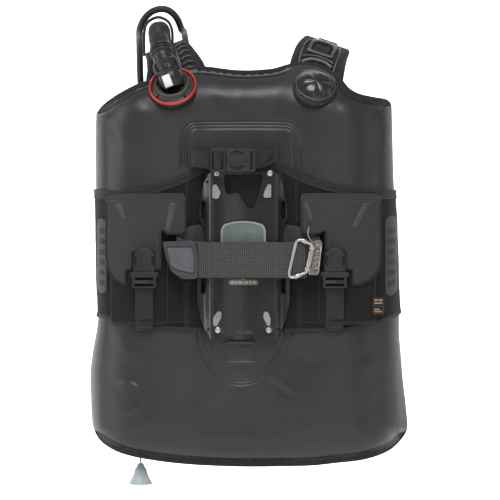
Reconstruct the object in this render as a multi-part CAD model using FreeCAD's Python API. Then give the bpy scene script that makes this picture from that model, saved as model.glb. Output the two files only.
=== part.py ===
import FreeCAD, Part
import os
import math

os.makedirs("parts", exist_ok=True)
V = FreeCAD.Vector

# Buoyancy compensator vest, back-inflation type, in millimetres.
# +Z is up, +X is the wearer's right, +Y is towards the wearer, -Y is the tank side.
# Origin: centre of the tank saddle, on its surface.

# ---- driving dimensions ----
TANK_R = 92.0          # radius the saddle is curved to
PLATE_T = 3.6          # backpack plate wall
CELL_T = 34.0          # air cell, half full
WEB25 = 12.5           # half width of 25 mm webbing
WEB50 = 25.0           # half width of 50 mm webbing
BAND_T = 2.4           # tank band webbing
PANEL_T = 2.5          # side panel
POCKET_IN = 7.0       # pocket depth inside
HOSE_R = 13.0          # corrugated hose
LP_R = 4.8             # low-pressure hose
BUCKLE_TRAVEL = 28.0   # side-release buckle, latch to clear
BAIL_R = 2.2           # cam buckle wire
CORD_R = 1.0           # dump cord

NODES = {}


def put(name, shape):
    if shape.Volume < 0:
        shape = shape.reversed()
    NODES[name] = shape


def box(x0, x1, y0, y1, z0, z1):
    return Part.makeBox(x1 - x0, y1 - y0, z1 - z0, V(x0, y0, z0))


def cyl(p, q, r):
    p, q = V(*p), V(*q)
    d = q - p
    return Part.makeCylinder(r, d.Length, p, d)


def cone(p, q, r1, r2):
    p, q = V(*p), V(*q)
    d = q - p
    return Part.makeCone(r1, r2, d.Length, p, d)


def fuse(*s):
    out = s[0]
    for x in s[1:]:
        out = out.fuse(x)
    return out.removeSplitter()


def prism(pts, direction):
    w = Part.makePolygon([V(*p) for p in pts] + [V(*pts[0])])
    return Part.Face(w).extrude(V(*direction))


def xz(pts, y0, y1):
    return prism([(x, y0, z) for x, z in pts], (0, y1 - y0, 0))


def xy(pts, z0, z1):
    return prism([(x, y, z0) for x, y in pts], (0, 0, z1 - z0))


def yz(pts, x0, x1):
    return prism([(x0, y, z) for y, z in pts], (x1 - x0, 0, 0))


def smooth(pts, n=3):
    """Catmull-Rom points through pts."""
    out = []
    for i in range(len(pts) - 1):
        p0 = pts[max(i - 1, 0)]
        p1, p2 = pts[i], pts[i + 1]
        p3 = pts[min(i + 2, len(pts) - 1)]
        for k in range(n):
            t = k / n
            out.append(tuple(
                0.5 * (2 * b + (c - a) * t + (2 * a - 5 * b + 4 * c - d) * t * t
                       + (3 * b - a - 3 * c + d) * t ** 3)
                for a, b, c, d in zip(p0, p1, p2, p3)))
    out.append(tuple(pts[-1]))
    return out


def offset(path, dist):
    """Offset an open XY path; positive goes to the tank side on a path run in +X."""
    out = []
    for i, p in enumerate(path):
        a = path[max(i - 1, 0)]
        b = path[min(i + 1, len(path) - 1)]
        tx, ty = b[0] - a[0], b[1] - a[1]
        l = math.hypot(tx, ty)
        d = dist(p[0]) if callable(dist) else dist
        out.append((p[0] + ty / l * d, p[1] - tx / l * d))
    return out


def band(path, d0, d1, z0, z1):
    return xy(offset(path, d0) + offset(path, d1)[::-1], z0, z1)


def tri_solid(verts, faces):
    fs = []
    for f in faces:
        for k in range(1, len(f) - 1):
            tri = [verts[f[0]], verts[f[k]], verts[f[k + 1]]]
            fs.append(Part.Face(Part.makePolygon(tri + [tri[0]])))
    s = Part.makeSolid(Part.makeShell(fs))
    if s.Volume < 0:
        s = s.reversed()
    return s


def ribbon(stations, t, up=None):
    """Flat strap: stations are (x, y, z, half-width vector); thickness t."""
    verts, n = [], len(stations)
    cs = [V(*s[:3]) for s in stations]
    for i, s in enumerate(stations):
        tan = cs[min(i + 1, n - 1)] - cs[max(i - 1, 0)]
        w = V(*s[3])
        nor = tan.cross(w)
        nor.normalize()
        nor = nor * (t / 2)
        verts += [cs[i] + w + nor, cs[i] + w - nor, cs[i] - w - nor, cs[i] - w + nor]
    faces = [(0, 1, 2, 3), tuple(4 * (n - 1) + k for k in (3, 2, 1, 0))]
    for i in range(n - 1):
        a = 4 * i
        for k in range(4):
            l = (k + 1) % 4
            faces.append((a + k, a + 4 + k, a + 4 + l, a + l))
    return tri_solid(verts, faces)


def tube(points, r, name):
    """Straight runs joined by tangent arcs of 0.45 of the shorter run over tan(half the turn)."""
    ps = [V(*p) for p in points]
    edges, cur, radii = [], ps[0], []
    for i in range(1, len(ps) - 1):
        a, b, c = ps[i - 1], ps[i], ps[i + 1]
        u, v = b - a, c - b
        lu, lv = u.Length, v.Length
        u.normalize()
        v.normalize()
        half = u.getAngle(v) / 2
        s = 0.45 * min(lu, lv)
        radii.append(round(s / math.tan(half), 1))
        p, q = b - u * s, b + v * s
        bis = (v - u)
        bis.normalize()
        rad = s / math.tan(half)
        centre = b + bis * (rad / math.cos(half))
        mid = centre - bis * rad
        edges.append(Part.LineSegment(cur, p).toShape())
        edges.append(Part.Arc(p, mid, q).toShape())
        cur = q
    edges.append(Part.LineSegment(cur, ps[-1]).toShape())
    wire = Part.Wire(edges)
    d0 = ps[1] - ps[0]
    prof = Part.Wire(Part.makeCircle(r, ps[0], d0))
    sol = wire.makePipeShell([prof], True, False)
    print(name, "length %.1f" % wire.Length, "radii", radii, "runs",
          [round((ps[i + 1] - ps[i]).Length) for i in range(len(ps) - 1)],
          "volume/expected %.4f" % (sol.Volume / (math.pi * r * r * wire.Length)))
    return sol


# ---- the air cell: a curled pad seen from above, cut to its front outline ----
half = [(0, 12), (30, 11.8), (50, 11), (75, 5), (100, 0.5), (122, -1), (145, 0), (165, 6),
        (185, 18), (200, 33), (212, 51), (224, 75), (238, 106)]
full = [(-x, y) for x, y in half[:0:-1]] + half
PROFILE = smooth(full, 3)


def yprof(x):
    x = max(-237.0, min(237.0, x))
    for (x0, y0), (x1, y1) in zip(PROFILE, PROFILE[1:]):
        if x0 <= x <= x1:
            return y0 + (y1 - y0) * (x - x0) / max(x1 - x0, 1e-6)
    return 12.0


OUTLINE = [(-129.7, 251.6), (-147.7, 244.6), (-167.2, 234.9), (-183.9, 225.2), (-196.4, 216.8),
           (-204.7, 208.5), (-207.5, 197.4), (-207.5, 111.2), (-206.1, 13.9), (-204.7, -41.7),
           (-203.3, -72.3), (-206.1, -97.3), (-210.3, -119.5), (-214.5, -144.6), (-215.9, -166.8),
           (-214.5, -215.4), (-211.7, -236.3), (-202.0, -251.6), (-185.3, -262.7), (-163.0, -271.0),
           (-129.7, -278.0), (-88.0, -283.6), (-43.5, -287.0), (9.3, -288.4), (62.1, -287.7),
           (96.9, -286.3), (133.0, -282.2), (167.8, -278.0), (202.5, -268.3), (220.6, -257.1),
           (231.7, -244.6), (233.1, -232.1), (230.3, -202.9), (226.2, -169.6), (223.4, -136.2),
           (220.6, -102.9), (220.6, -72.3), (219.2, -41.7), (217.8, -2.8), (215.0, 63.9),
           (212.3, 104.2), (210.9, 139.0), (209.5, 197.4), (208.1, 216.8), (201.1, 224.5),
           (183.1, 226.6), (162.2, 230.7), (146.9, 239.1), (135.8, 253.0), (120.5, 265.5),
           (103.8, 273.8), (83.0, 276.6), (64.9, 273.8), (44.1, 267.6), (26.0, 265.5),
           (9.3, 264.5), (-8.7, 264.8), (-25.4, 266.5), (-49.1, 269.7), (-67.1, 269.7),
           (-88.0, 266.9), (-108.8, 261.3)]


def cell_t(x):
    a = abs(x)
    if a < 130:
        return -CELL_T
    return -(CELL_T - (CELL_T - 17.0) * min(1.0, (a - 130) / 95.0))


cell = xy(PROFILE + offset(PROFILE, cell_t)[::-1], -300, 300).common(xz(OUTLINE, -90, 190))
# the top rolls back over the shoulders, the hem rolls under
cell = cell.cut(yz([(-80, 116.7), (57.5, 300), (-80, 300)], -260, 260))
cell = cell.cut(yz([(-80, -116.7), (-6, -240), (30, -300), (-80, -300)], -260, 260))

# ---- valves on the shoulders ----
N1 = V(-0.10, -0.80, 0.60)
N1.normalize()
C1 = V(-97.7, 11.0, 238.0)
N2 = V(0.12, -0.80, 0.60)
N2.normalize()
C2 = V(99.7, 11.75, 239.0)


def along(c, n, d):
    p = c + n * d
    return (p.x, p.y, p.z)


flange = cyl(along(C1, N1, -6), along(C1, N1, 5), 32.0)
vbase = cyl(along(C2, N2, -6), along(C2, N2, 4), 30.5)
cell = cell.cut(cyl(along(C1, N1, -6), along(C1, N1, 60), 32.0))
cell = cell.cut(cyl(along(C2, N2, -6), along(C2, N2, 60), 30.5))
put("elbow_flange", flange)
put("elbow_ring", cyl(along(C1, N1, 5), along(C1, N1, 8.5), 33.6)
    .cut(cyl(along(C1, N1, 4), along(C1, N1, 9), 30.0)))
put("shoulder_valve_base", vbase)
cap = fuse(cone(along(C2, N2, 4), along(C2, N2, 11), 29.0, 25.0),
           cone(along(C2, N2, 11), along(C2, N2, 17), 25.0, 14.0))
put("shoulder_valve_cap", cap)

# elbow: cone from the flange, ball, quick-connect sleeve, neck that the hose pushes on to
EB = V(*along(C1, N1, 23))
J1 = V(-112.0, -2.0, 283.0)
J2 = V(-116.5, 14.0, 301.0)
mid = EB + (J1 - EB) * 0.42
elbow = cone(along(C1, N1, 5), along(C1, N1, 18), 28.0, 18.0)
elbow = elbow.fuse(Part.makeSphere(17.5, EB))
elbow = elbow.fuse(cyl(tuple(EB), tuple(J1), 15.0)).fuse(cyl(tuple(mid), tuple(J1), 17.0))
elbow = elbow.fuse(Part.makeSphere(14.0, J1)).fuse(cyl(tuple(J1), tuple(J2), 14.0))
put("elbow_body", elbow.removeSplitter())

# ---- lower dump valve on the wearer's side of the cell ----
LV = (-163.5, -191.8)
cell = cell.cut(cyl((LV[0], 24, LV[1]), (LV[0], 60, LV[1]), 24.0))
put("lower_dump_valve", cyl((LV[0], 24, LV[1]), (LV[0], 47, LV[1]), 24.0))
put("air_cell", cell)
TX, TY = -144.5, 50.5
put("dump_cord", cyl((TX, TY, -206), (TX, TY, -286), CORD_R))
put("dump_toggle", cone((TX, TY, -286), (TX, TY, -292), 4.0, 8.0)
    .fuse(cone((TX, TY, -292), (TX, TY, -316), 8.0, 16.0)))
put("cord_guide", box(TX - 7.5, TX + 7.5, TY - 3.5, TY + 3.5, -278, -271)
    .cut(cyl((TX, TY, -300), (TX, TY, -250), 1.6)))

# ---- harness panel and back pad on the wearer's side ----
RR = [(-122, -150), (-112, -165), (112, -165), (122, -150), (122, 150), (108, 165), (-108, 165),
      (-122, 150)]
put("harness_panel", xz(RR, 46.5, 50.0))
put("back_pad", xz([(x * 0.94, z * 0.96) for x, z in RR], 50.0, 64.0))

# ---- backpack plate with tank saddle ----


def arc_y(x):
    return -(TANK_R - math.sqrt(TANK_R ** 2 - x * x))


side = [(45.5, -11.5), (47.4, -9.0), (48.4, -4.0), (50.2, -1.4), (58, 0.6), (67, 2.0)]
ph = [(x, arc_y(x)) for x in (0, 6, 12, 18, 24, 30, 36, 40, 44)] + side
SADDLE = [(-x, y) for x, y in ph[:0:-1]] + ph
ph_out = [(41, 124), (50, 118.5), (56, 104), (60.5, 75), (61.6, 58), (57.5, 50), (54.5, 43),
          (54.5, 28), (57.5, 18), (61.5, -8), (64.4, -33), (64.4, -56), (60, -80), (54.5, -94),
          (45.5, -112.6), (33, -109), (20, -106), (14.5, -106.5), (12.5, -111), (0, -111)]
PLATE = ph_out + [(-x, z) for x, z in ph_out[-2::-1]]
ih = [(x, arc_y(x) + PLATE_T) for x in (0, 12, 24, 36)]
ih += [(41.5, -6.4), (43.8, -5.0), (45.0, 0.0), (48.5, 2.4), (58, 4.2), (67, 5.4)]
INNER = [(-x, y) for x, y in ih[:0:-1]] + ih
plate = xy(SADDLE + INNER[::-1], -130, 140).common(xz(PLATE, -40, 40))
HANDLE = [(-27, 119), (27, 119), (23, 98), (17, 80), (9, 70.5), (3, 73), (-1, 84), (-8, 80),
          (-14, 86), (-22, 98)]
plate = plate.cut(xz(HANDLE, -40, 40))
for sx in (-1, 1):
    for z0, z1 in ((57, 82), (-47, -25)):
        plate = plate.cut(box(min(sx * 53.2, sx * 58.8), max(sx * 53.2, sx * 58.8), -40, 40, z0, z1))
HOLES = [(50.7, 108.4), (-50.7, 108.4), (48.9, -95.9), (-48.9, -95.9)]
for x, z in HOLES:
    plate = plate.cut(cyl((x, -40, z), (x, 40, z), 1.7))
SCREWS = [(37.0, 120.5), (-37.0, 120.5), (35.5, -97.3), (-35.5, -97.3)]
screws = None
for x, z in SCREWS:
    y = arc_y(x)
    plate = plate.cut(cyl((x, -40, z), (x, y + 1.0, z), 4.6))
    plate = plate.cut(cyl((x, -40, z), (x, 40, z), 2.55))
    s = cyl((x, y - 1.4, z), (x, y + 1.0, z), 4.2).fuse(cyl((x, y + 1.0, z), (x, y + 8.0, z), 2.5))
    screws = s if screws is None else screws.fuse(s)
put("backpack_plate", plate)
put("plate_screws", screws)

# rubber grip pads and badge plate, following the saddle
pads = band(SADDLE, 0, 2.0, -15, 53).common(
    xz([(-28, 53), (28, 53), (31, 48), (31, -10), (28, -14), (-28, -14), (-31, -10), (-31, 48)],
       -40, 40))


def drop(cx, cz, sx):
    return [(cx + sx * a, cz + b) for a, b in ((-4, 10), (3, 9), (6, 2), (5.5, -5), (2, -10),
                                                (-3, -8), (-5.5, 2))]


for sx in (-1, 1):
    for cz in (95.0, -82.0):
        pads = pads.fuse(band(SADDLE, 0, 2.0, cz - 20, cz + 20).common(
            xz(drop(sx * 35.5, cz, sx), -40, 40)))
put("saddle_pads", pads)
put("badge_plate", band(SADDLE, 0, 1.4, -36, -26).common(
    xz([(-21.5, -27), (21.5, -27), (21.5, -35), (-21.5, -35)], -40, 40)))

# ---- tank band, cam buckle and grip ----
ZW = (0, 0, WEB50)
bp = [(94.5, -21.2, 4), (100.5, -20.2, 4.5), (104.3, -15.5, 6), (102, -9.8, 10), (94, -5.5, 15),
      (84, -2.4, 19), (74, -0.3, 22), (67.5, 2.0, 23.5), (62, 5.6, 24), (57, 7.3, 24.5), (44, 8.3, 24.5),
      (0, 8.3, 24.5), (-44, 8.3, 24.5), (-57, 7.3, 24.5), (-62, 5.6, 24), (-67.5, 2.0, 23.5),
      (-74, -0.3, 22), (-84, -2.6, 18), (-91, -6.5, 13), (-91.5, -11, 9), (-84, -15, 4), (-66, -17.2, 1),
      (-40, -17.4, 0), (0, -17.4, 0), (40, -17.4, 0), (66, -17.4, 0), (80, -17.5, 0),
      (85.2, -18.2, 0), (87.0, -20.0, 0), (85.2, -21.8, 0), (80, -22.5, 0), (40, -22.6, 0),
      (0, -22.6, 0), (-40, -22.6, 0), (-64, -22.6, 0)]
put("tank_band", ribbon([(x, y, z, ZW) for x, y, z in bp], BAND_T))
put("band_grip", xz([(-64.0, 26), (-64.0, -26), (-78, -25.5), (-86, -27), (-94, -23), (-101, -10),
                     (-111.5, 24), (-110, 26.3)], -27.0, -20.0))

ang = math.radians(13)
AX = V(math.sin(ang), 0, math.cos(ang))       # bail axis, 13 degrees off vertical
HC = V(92.0, -27.0, 2.0)                      # its centre


def on_axis(d, c=HC):
    p = c + AX * d
    return (p.x, p.y, p.z)


LC = V(67.7, -27.0, 1.4)
wires = [(on_axis(19), on_axis(-19)), (on_axis(30, LC), on_axis(-30, LC)),
         (on_axis(19), on_axis(30, LC)), (on_axis(-19), on_axis(-30, LC))]
bail = None
for a, b in wires:
    s = cyl(a, b, BAIL_R)
    bail = s if bail is None else bail.fuse(s)
for p in (on_axis(19), on_axis(-19), on_axis(30, LC), on_axis(-30, LC)):
    bail = bail.fuse(Part.makeSphere(BAIL_R, V(*p)))
put("cam_buckle_bail", bail)
knuckle = cyl(on_axis(-11), on_axis(11), 3.6)
cplate = xz([(94, 26), (107.5, 28), (109.4, 22), (103.5, -21), (90, -21), (90, -12), (94, -10)],
            -24.5, -22.7)
knuckle = knuckle.fuse(cplate).fuse(box(92, 98, -26.4, -22.7, -7, 11))
knuckle = knuckle.cut(cyl(on_axis(-30), on_axis(30), BAIL_R + 0.05))
for i in range(3):
    for j in range(4):
        knuckle = knuckle.cut(cyl((98.4 + 3.6 * i + j * 0.6, -40, -14 + 9.5 * j),
                                  (98.4 + 3.6 * i + j * 0.6, 0, -14 + 9.5 * j), 1.2))
put("cam_buckle_plate", knuckle.removeSplitter())

# ---- top strap with its side-release buckle ----
Z25 = (0, 0, WEB25)
put("top_strap_left", ribbon([(-30, 5.2, 138, Z25), (-52, 4.8, 139, Z25), (-67, 1.5, 140, Z25),
                              (-72, -4, 141, Z25), (-67, -11, 141, Z25), (-56, -15.2, 140, Z25),
                              (-46.5, -16.6, 139, Z25)], 1.6))
put("top_strap_right", ribbon([(17.6, -16.6, 138, Z25), (29, -15.8, 141, Z25), (41, -12, 146, Z25),
                               (47.5, -4, 148, Z25), (45, 3.0, 146, Z25), (38, 5.0, 142, Z25),
                               (20, 5.2, 140, Z25)], 1.6))
ZB = 138.0


# female half: a sleeve that the prongs enter from -X, with windows in its edges
fem = box(-24, 17, -22, -11, ZB - 16, ZB + 16).cut(box(-25, 7, -20, -13, ZB - 13.8, ZB + 13.8))
fem = fem.cut(box(-18, -2, -23, -10, ZB - 17, ZB - 10.5)).cut(box(-18, -2, -23, -10, ZB + 10.5, ZB + 17))
fem = fem.cut(box(9.5, 13.5, -30, 0, ZB - 12.9, ZB + 12.9))
put("top_buckle_female", fem)
mal = box(-46, -24.4, -21, -12, ZB - 16, ZB + 16).cut(box(-43, -38.5, -30, 0, ZB - 12.9, ZB + 12.9))
mal = mal.cut(box(-32, -27.5, -30, 0, ZB - 12.9, ZB + 12.9))
mal = mal.fuse(box(-24.4, -2, -18.5, -14.5, ZB + 6.5, ZB + 11.5))
mal = mal.fuse(box(-24.4, -2, -18.5, -14.5, ZB - 11.5, ZB - 6.5))
mal = mal.fuse(box(-24.4, 4, -18.5, -14.5, ZB - 2.5, ZB + 2.5))
put("top_buckle_male", mal.removeSplitter())

# ---- side panels, trim pockets and their flaps ----
PL_TOP = [(-208.9, 98.7), (-192.2, 95.9), (-174.2, 94.5), (-150.5, 97.3), (-129.7, 101.5),
          (-108.8, 107.0), (-88.0, 115.4), (-71.3, 123.7), (-56.0, 132.0), (-44.0, 134.5)]
PL_LOW = [(-69.0, -98.5), (-101.9, -96.6), (-136.6, -94.5), (-160.3, -90.3), (-176.9, -84.8),
          (-190.8, -81.3), (-203.3, -79.2), (-208.9, -78.4)]
PR_TOP = [(44.0, 134.5), (55.2, 132.0), (67.7, 125.1), (85.8, 116.8), (106.6, 109.1),
          (134.4, 102.2), (162.2, 97.3), (190.0, 95.9), (215.0, 97.3), (221.0, 97.6)]
PR_LOW = [(221.0, -75.1), (210.9, -79.9), (197.0, -84.1), (178.9, -90.3), (155.3, -95.2),
          (127.5, -98.7), (69.0, -100.1)]


def panel(sx, top, low, x_out):
    """Side panel: a band on the cell, trimmed to its upper and lower edges, with a tab inwards."""
    def part(x0, x1, z0, z1):
        path = sorted(p for p in PROFILE if x0 < sx * p[0] < x1)
        ends = [(x, yprof(x)) for x in sorted((sx * x0, sx * x1))]
        return band([ends[0]] + path + [ends[1]], 0.5, 0.5 + PANEL_T, z0, z1)
    s = part(69.0, x_out, -112, 150).fuse(part(54.0, 76.0, 56, 150)).fuse(part(44.0, 60.0, 104, 150))
    s = s.removeSplitter()
    xs = [p[0] for p in top]
    s = s.cut(xz([(min(xs) - 5, 180)] + sorted(top) + [(max(xs) + 5, 180)], -90, 190))
    xs = [p[0] for p in low]
    return s.cut(xz([(min(xs) - 5, -180)] + sorted(low) + [(max(xs) + 5, -180)], -90, 190))


put("side_panels", Part.makeCompound([panel(-1, PL_TOP, PL_LOW, 206.5), panel(1, PR_TOP, PR_LOW, 218.5)]))

pockets = []
for sx in (-1, 1):
    x0, x1 = sorted((sx * 112.0, sx * 180.0))
    o = band(PROFILE, 3.3, 5.3 + POCKET_IN + 2.0, -90, 70).common(box(x0, x1, -90, 90, -100, 100))
    i = band(PROFILE, 5.3, 5.3 + POCKET_IN, -88, 80).common(box(x0 + 2, x1 - 2, -90, 90, -100, 100))
    pockets.append(o.cut(i))
put("trim_pockets", Part.makeCompound(pockets))
OUT = 5.3 + POCKET_IN + 2.0                   # pocket face, measured off the cell
for sx, nm in ((-1, "left"), (1, "right")):
    cx = sx * 132.5
    bx = -137.0 if sx < 0 else 126.6          # flap buckle centre line
    # full width above the tank band, narrower below it so that it swings clear of the band
    fo = [(sx * x, z) for x, z in ((82.5, 86), (182.5, 86), (182.5, -12), (175.5, -28), (164.5, -35),
                                   (114, -35), (114, 42), (108, 36), (90, 34.5), (84.5, 38), (82.5, 44))]
    flap = band(PROFILE, OUT + 0.5, OUT + 3.0, -60, 90).common(xz(fo, -90, 90))
    flap = flap.cut(box(bx - 20.5, bx + 20.5, -90, 90, -60, 12))
    put("pocket_flap_" + nm, flap)
    yf = min(yprof(bx - 15), yprof(bx), yprof(bx + 15)) - OUT - 3.0 - 0.8
    # female half: front and sides only, so it lifts off the prongs with the flap
    f = box(bx - 15.5, bx + 15.5, yf - 9, yf, -15.6, 17.5)
    f = f.cut(box(bx - 12.9, bx + 12.9, yf - 6.6, yf + 1, -16, 12.5))
    f = f.cut(box(bx - 16, bx - 11, yf - 10, yf + 1, -8, 6)).cut(box(bx + 11, bx + 16, yf - 10, yf + 1, -8, 6))
    f = f.fuse(box(bx - 12, bx + 12, yf, yf + 0.5, 13.6, 17.5))
    put("flap_buckle_female_" + nm, f.removeSplitter())
    m = box(bx - 19.5, bx + 19.5, yf - 8, yf, -38.5, -16.2)
    m = m.cut(box(bx - 12.9, bx + 12.9, yf - 9, yf + 1, -36, -31.5))
    for dx in (-9.5, 9.5):
        m = m.fuse(box(bx + dx - 2.6, bx + dx + 2.6, yf - 5.6, yf - 1.2, -16.2, 6))
    m = m.fuse(box(bx - 2.5, bx + 2.5, yf - 5.6, yf - 1.2, -16.2, 10))
    put("flap_buckle_male_" + nm, m.removeSplitter())
    put("flap_strap_" + nm, box(bx - WEB25, bx + WEB25, yf - 2.4, yf - 0.6, -100, -38.8))

# ---- shoulder straps ----


def strap(st, tilt, name):
    out = []
    for i, (x, y, z, hw) in enumerate(st):
        k = min(1.0, max(0.0, (i - 1) / 2.0)) if i < 7 else max(0.0, 1 - (i - 6) / 3.0)
        a = math.radians(tilt * k)
        out.append((x, y, z, (hw * math.cos(a), 0, hw * math.sin(a))))
    put(name, ribbon(out, 10.0))


strap([(-92, 57, 165.5, 45), (-94, 57, 225, 44), (-95, 59, 262, 43), (-103, 70, 288, 34),
       (-110, 92, 298, 31), (-111, 120, 299, 30), (-111, 150, 288, 30), (-109, 172, 262, 30),
       (-105, 184, 225, 29), (-101, 190, 180, 28), (-98, 192, 130, 27)], 20, "shoulder_strap_left")
strap([(98, 57, 165.5, 38), (98, 57, 225, 38), (100, 60, 262, 37), (108, 72, 290, 36),
       (117, 94, 303, 35), (119, 122, 305, 34), (118, 152, 294, 32), (114, 174, 266, 31),
       (108, 186, 226, 30), (102, 191, 180, 28), (98, 192, 130, 27)], -19, "shoulder_strap_right")

# shoulder buckles: female halves on the strap ends, male halves pull down
fems = []
for sx, nm in ((-1, "left"), (1, "right")):
    c = sx * 98
    f = box(c - 22, c + 22, 185, 199, 76, 128).cut(box(c - 19.5, c + 19.5, 187.5, 196.5, 75, 122))
    f = f.cut(box(c - 23, c - 15, 184, 200, 86, 104)).cut(box(c + 15, c + 23, 184, 200, 86, 104))
    fems.append(f)
    m = box(c - 22, c + 22, 186, 198, 48, 75.6).cut(box(c - 19, c + 19, 180, 204, 52, 58))
    for dx in (-12, 12):
        m = m.fuse(box(c + dx - 3, c + dx + 3, 189.5, 194.5, 75.6, 106))
    m = m.fuse(box(c - 3, c + 3, 189.5, 194.5, 75.6, 114))
    put("shoulder_buckle_male_" + nm, m.removeSplitter())
    put("shoulder_webbing_" + nm, ribbon([(c, 192, 47.6, (19, 0, 0)), (c, 193, 20, (19, 0, 0)),
                                          (c, 200, -30, (19, 0, 0)), (c, 207, -68, (19, 0, 0))], 2.0))
put("shoulder_buckles_female", Part.makeCompound(fems))

# ---- chest strap ----
put("chest_strap_left", ribbon([(-70, 192, 152, Z25), (-50, 194, 152, Z25), (-30.4, 194, 152, Z25)], 1.8))
put("chest_strap_right", ribbon([(30.4, 194, 152, Z25), (50, 194, 152, Z25), (70, 192, 152, Z25)], 1.8))
f = box(-30, 8, 189, 199, 136.5, 167.5).cut(box(-18, 9, 191, 197, 138.8, 165.2))
f = f.cut(box(-12, 0, 188, 200, 136, 142)).cut(box(-12, 0, 188, 200, 162, 168))
put("chest_buckle_female", f)
m = box(8.4, 30, 189.5, 198.5, 137, 167).cut(box(22, 26.5, 180, 205, 139.5, 164.5))
for dz in (-9, 9):
    m = m.fuse(box(-12, 8.4, 192, 196, 152 + dz - 2.5, 152 + dz + 2.5))
m = m.fuse(box(-15, 8.4, 192, 196, 149.5, 154.5))
put("chest_buckle_male", m.removeSplitter())

# ---- waist belt ----
wz = -95.0
wl = smooth([(-126, 52), (-148, 66), (-166, 98), (-172, 140), (-163, 182), (-136, 208), (-98, 218),
             (-70, 221), (-42.4, 222)], 2)
put("waist_strap_left", ribbon([(x, y, wz, ZW) for x, y in wl], 3.0))
put("waist_strap_right", ribbon([(-x, y, wz, ZW) for x, y in wl], 3.0))
f = box(-42, 12, 216, 229, wz - 29, wz + 29).cut(box(-26, 13, 218.5, 226.5, wz - 26.5, wz + 26.5))
f = f.cut(box(-18, 0, 215, 230, wz - 30, wz - 20)).cut(box(-18, 0, 215, 230, wz + 20, wz + 30))
put("waist_buckle_female", f)
m = box(12.4, 42, 216.5, 228.5, wz - 29, wz + 29).cut(box(32, 38, 200, 240, wz - 25.5, wz + 25.5))
for dz in (-17, 17):
    m = m.fuse(box(-18, 12.4, 220, 225, wz + dz - 3.5, wz + dz + 3.5))
m = m.fuse(box(-23, 12.4, 220, 225, wz - 4, wz + 4))
put("waist_buckle_male", m.removeSplitter())

# ---- D-rings hanging under the belt, each bar in a moulded keeper ----
DZ = wz - WEB50 - 5.2
keepers = []
for sx, nm in ((-1, "left"), (1, "right")):
    x, y = sx * 171.5, 140.0
    ring = cyl((x, y - 20, DZ), (x, y + 20, DZ), 2.5)
    pts = [(y - 20, DZ), (y - 19, DZ - 12), (y - 13, DZ - 23), (y, DZ - 28), (y + 13, DZ - 23),
           (y + 19, DZ - 12), (y + 20, DZ)]
    for (a, b), (c, d) in zip(pts, pts[1:]):
        ring = ring.fuse(cyl((x, a, b), (x, c, d), 2.5))
    for a, b in pts:
        ring = ring.fuse(Part.makeSphere(2.5, V(x, a, b)))
    put("d_ring_" + nm, ring.removeSplitter())
    k = fuse(cyl((x, y - 12, DZ), (x, y + 12, DZ), 4.6), box(x - 3, x + 3, y - 12, y + 12, DZ, DZ + 5.0))
    keepers.append(k.cut(cyl((x, y - 30, DZ), (x, y + 30, DZ), 2.55)))
put("d_ring_keepers", Part.makeCompound(keepers))

# ---- power inflator ----
IX, IY = -114.0, 217.0
body = box(IX - 14, IX + 14, IY - 13, IY + 13, -32, 56)
body = body.makeFillet(5.0, [e for e in body.Edges if abs(e.BoundBox.ZLength - 88) < 0.1])
body = body.fuse(cyl((IX, IY, 50), (IX, IY, 80), 15.0))
body = body.fuse(box(IX - 30, IX - 13, IY - 6.5, IY + 6.5, 30, 42))
body = body.cut(cyl((IX, IY + 3, 18), (IX, IY + 20, 18), 8.05))
body = body.cut(cyl((IX, IY, -33), (IX, IY, -20), 9.05))
body = body.cut(cyl((IX + 10, IY, -4), (IX + 20, IY, -4), 7.5))
put("inflator_body", body.removeSplitter())
put("inflate_button", cyl((IX, IY + 7, 18), (IX, IY + 18, 18), 8.0))
put("deflate_button", cyl((IX, IY, -39), (IX, IY, -25), 9.0))
mp = cyl((IX + 14, IY, -4), (IX + 31, IY, -4), 10.5).fuse(cyl((IX + 26, IY, -4), (IX + 31, IY, -4), 13))
put("mouthpiece", mp.cut(cyl((IX + 13, IY, -4), (IX + 40, IY, -4), 7.5)))

# corrugated hose over the left shoulder
u = (J2 - J1)
u.normalize()
h1 = J2 + u * 27
HOSE = [tuple(J2), tuple(h1), (-119, 74, 324), (-118, 124, 329), (-118, 178, 306), (-118, 210, 256),
        (-117, 221, 198), (-114, 217, 138), (-114, 217, 80)]
put("corrugated_hose", tube(HOSE, HOSE_R, "corrugated_hose"))
kp = smooth([(-140, 288), (-140, 322), (-134.5, 336), (-120, 342.5), (-106, 336), (-100.5, 322),
             (-100.5, 302)], 2)
put("hose_keeper", ribbon([(x, 63, z, (0, 5, 0)) for x, z in kp], 1.5))

# low-pressure hose: up from the inflator, an arch over the shoulder, down to its fitting
LPX = IX - 24.0
connector = cyl((LPX, IY, 42), (LPX, IY, 82), 7.5)
LP = [(LPX, IY, 82), (LPX, IY, 122), (-143, 227, 166), (-148, 224, 212), (-151, 211, 257),
      (-151, 184, 295), (-150, 145, 320), (-149, 112, 324), (-147.5, 89, 329), (-140, 80, 344),
      (-126, 79, 355), (-108, 79, 356), (-95, 81, 345), (-89.5, 93, 332), (-88, 116, 327),
      (-86, 148, 331), (-84, 184, 316), (-80, 208, 281), (-77, 214, 235), (-76, 216, 186),
      (-76, 226, 138)]
put("lp_hose", tube(LP, LP_R, "lp_hose"))
e = V(*LP[-1])
d = e - V(*LP[-2])
d.normalize()
p1, p2, p3 = e, e + d * 22, e + d * 32
fit = fuse(cyl(tuple(p1), tuple(p1 + d * 12), 7.0), cyl(tuple(p1 + d * 12), tuple(p2), 8.5),
           cyl(tuple(p2), tuple(p3), 4.76))
put("lp_hose_fittings", Part.makeCompound([connector, fit]))
print("lp fitting thread", tuple(round(c, 2) for c in (p2 + d * 5)), "axis",
      tuple(round(c, 4) for c in d))

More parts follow.
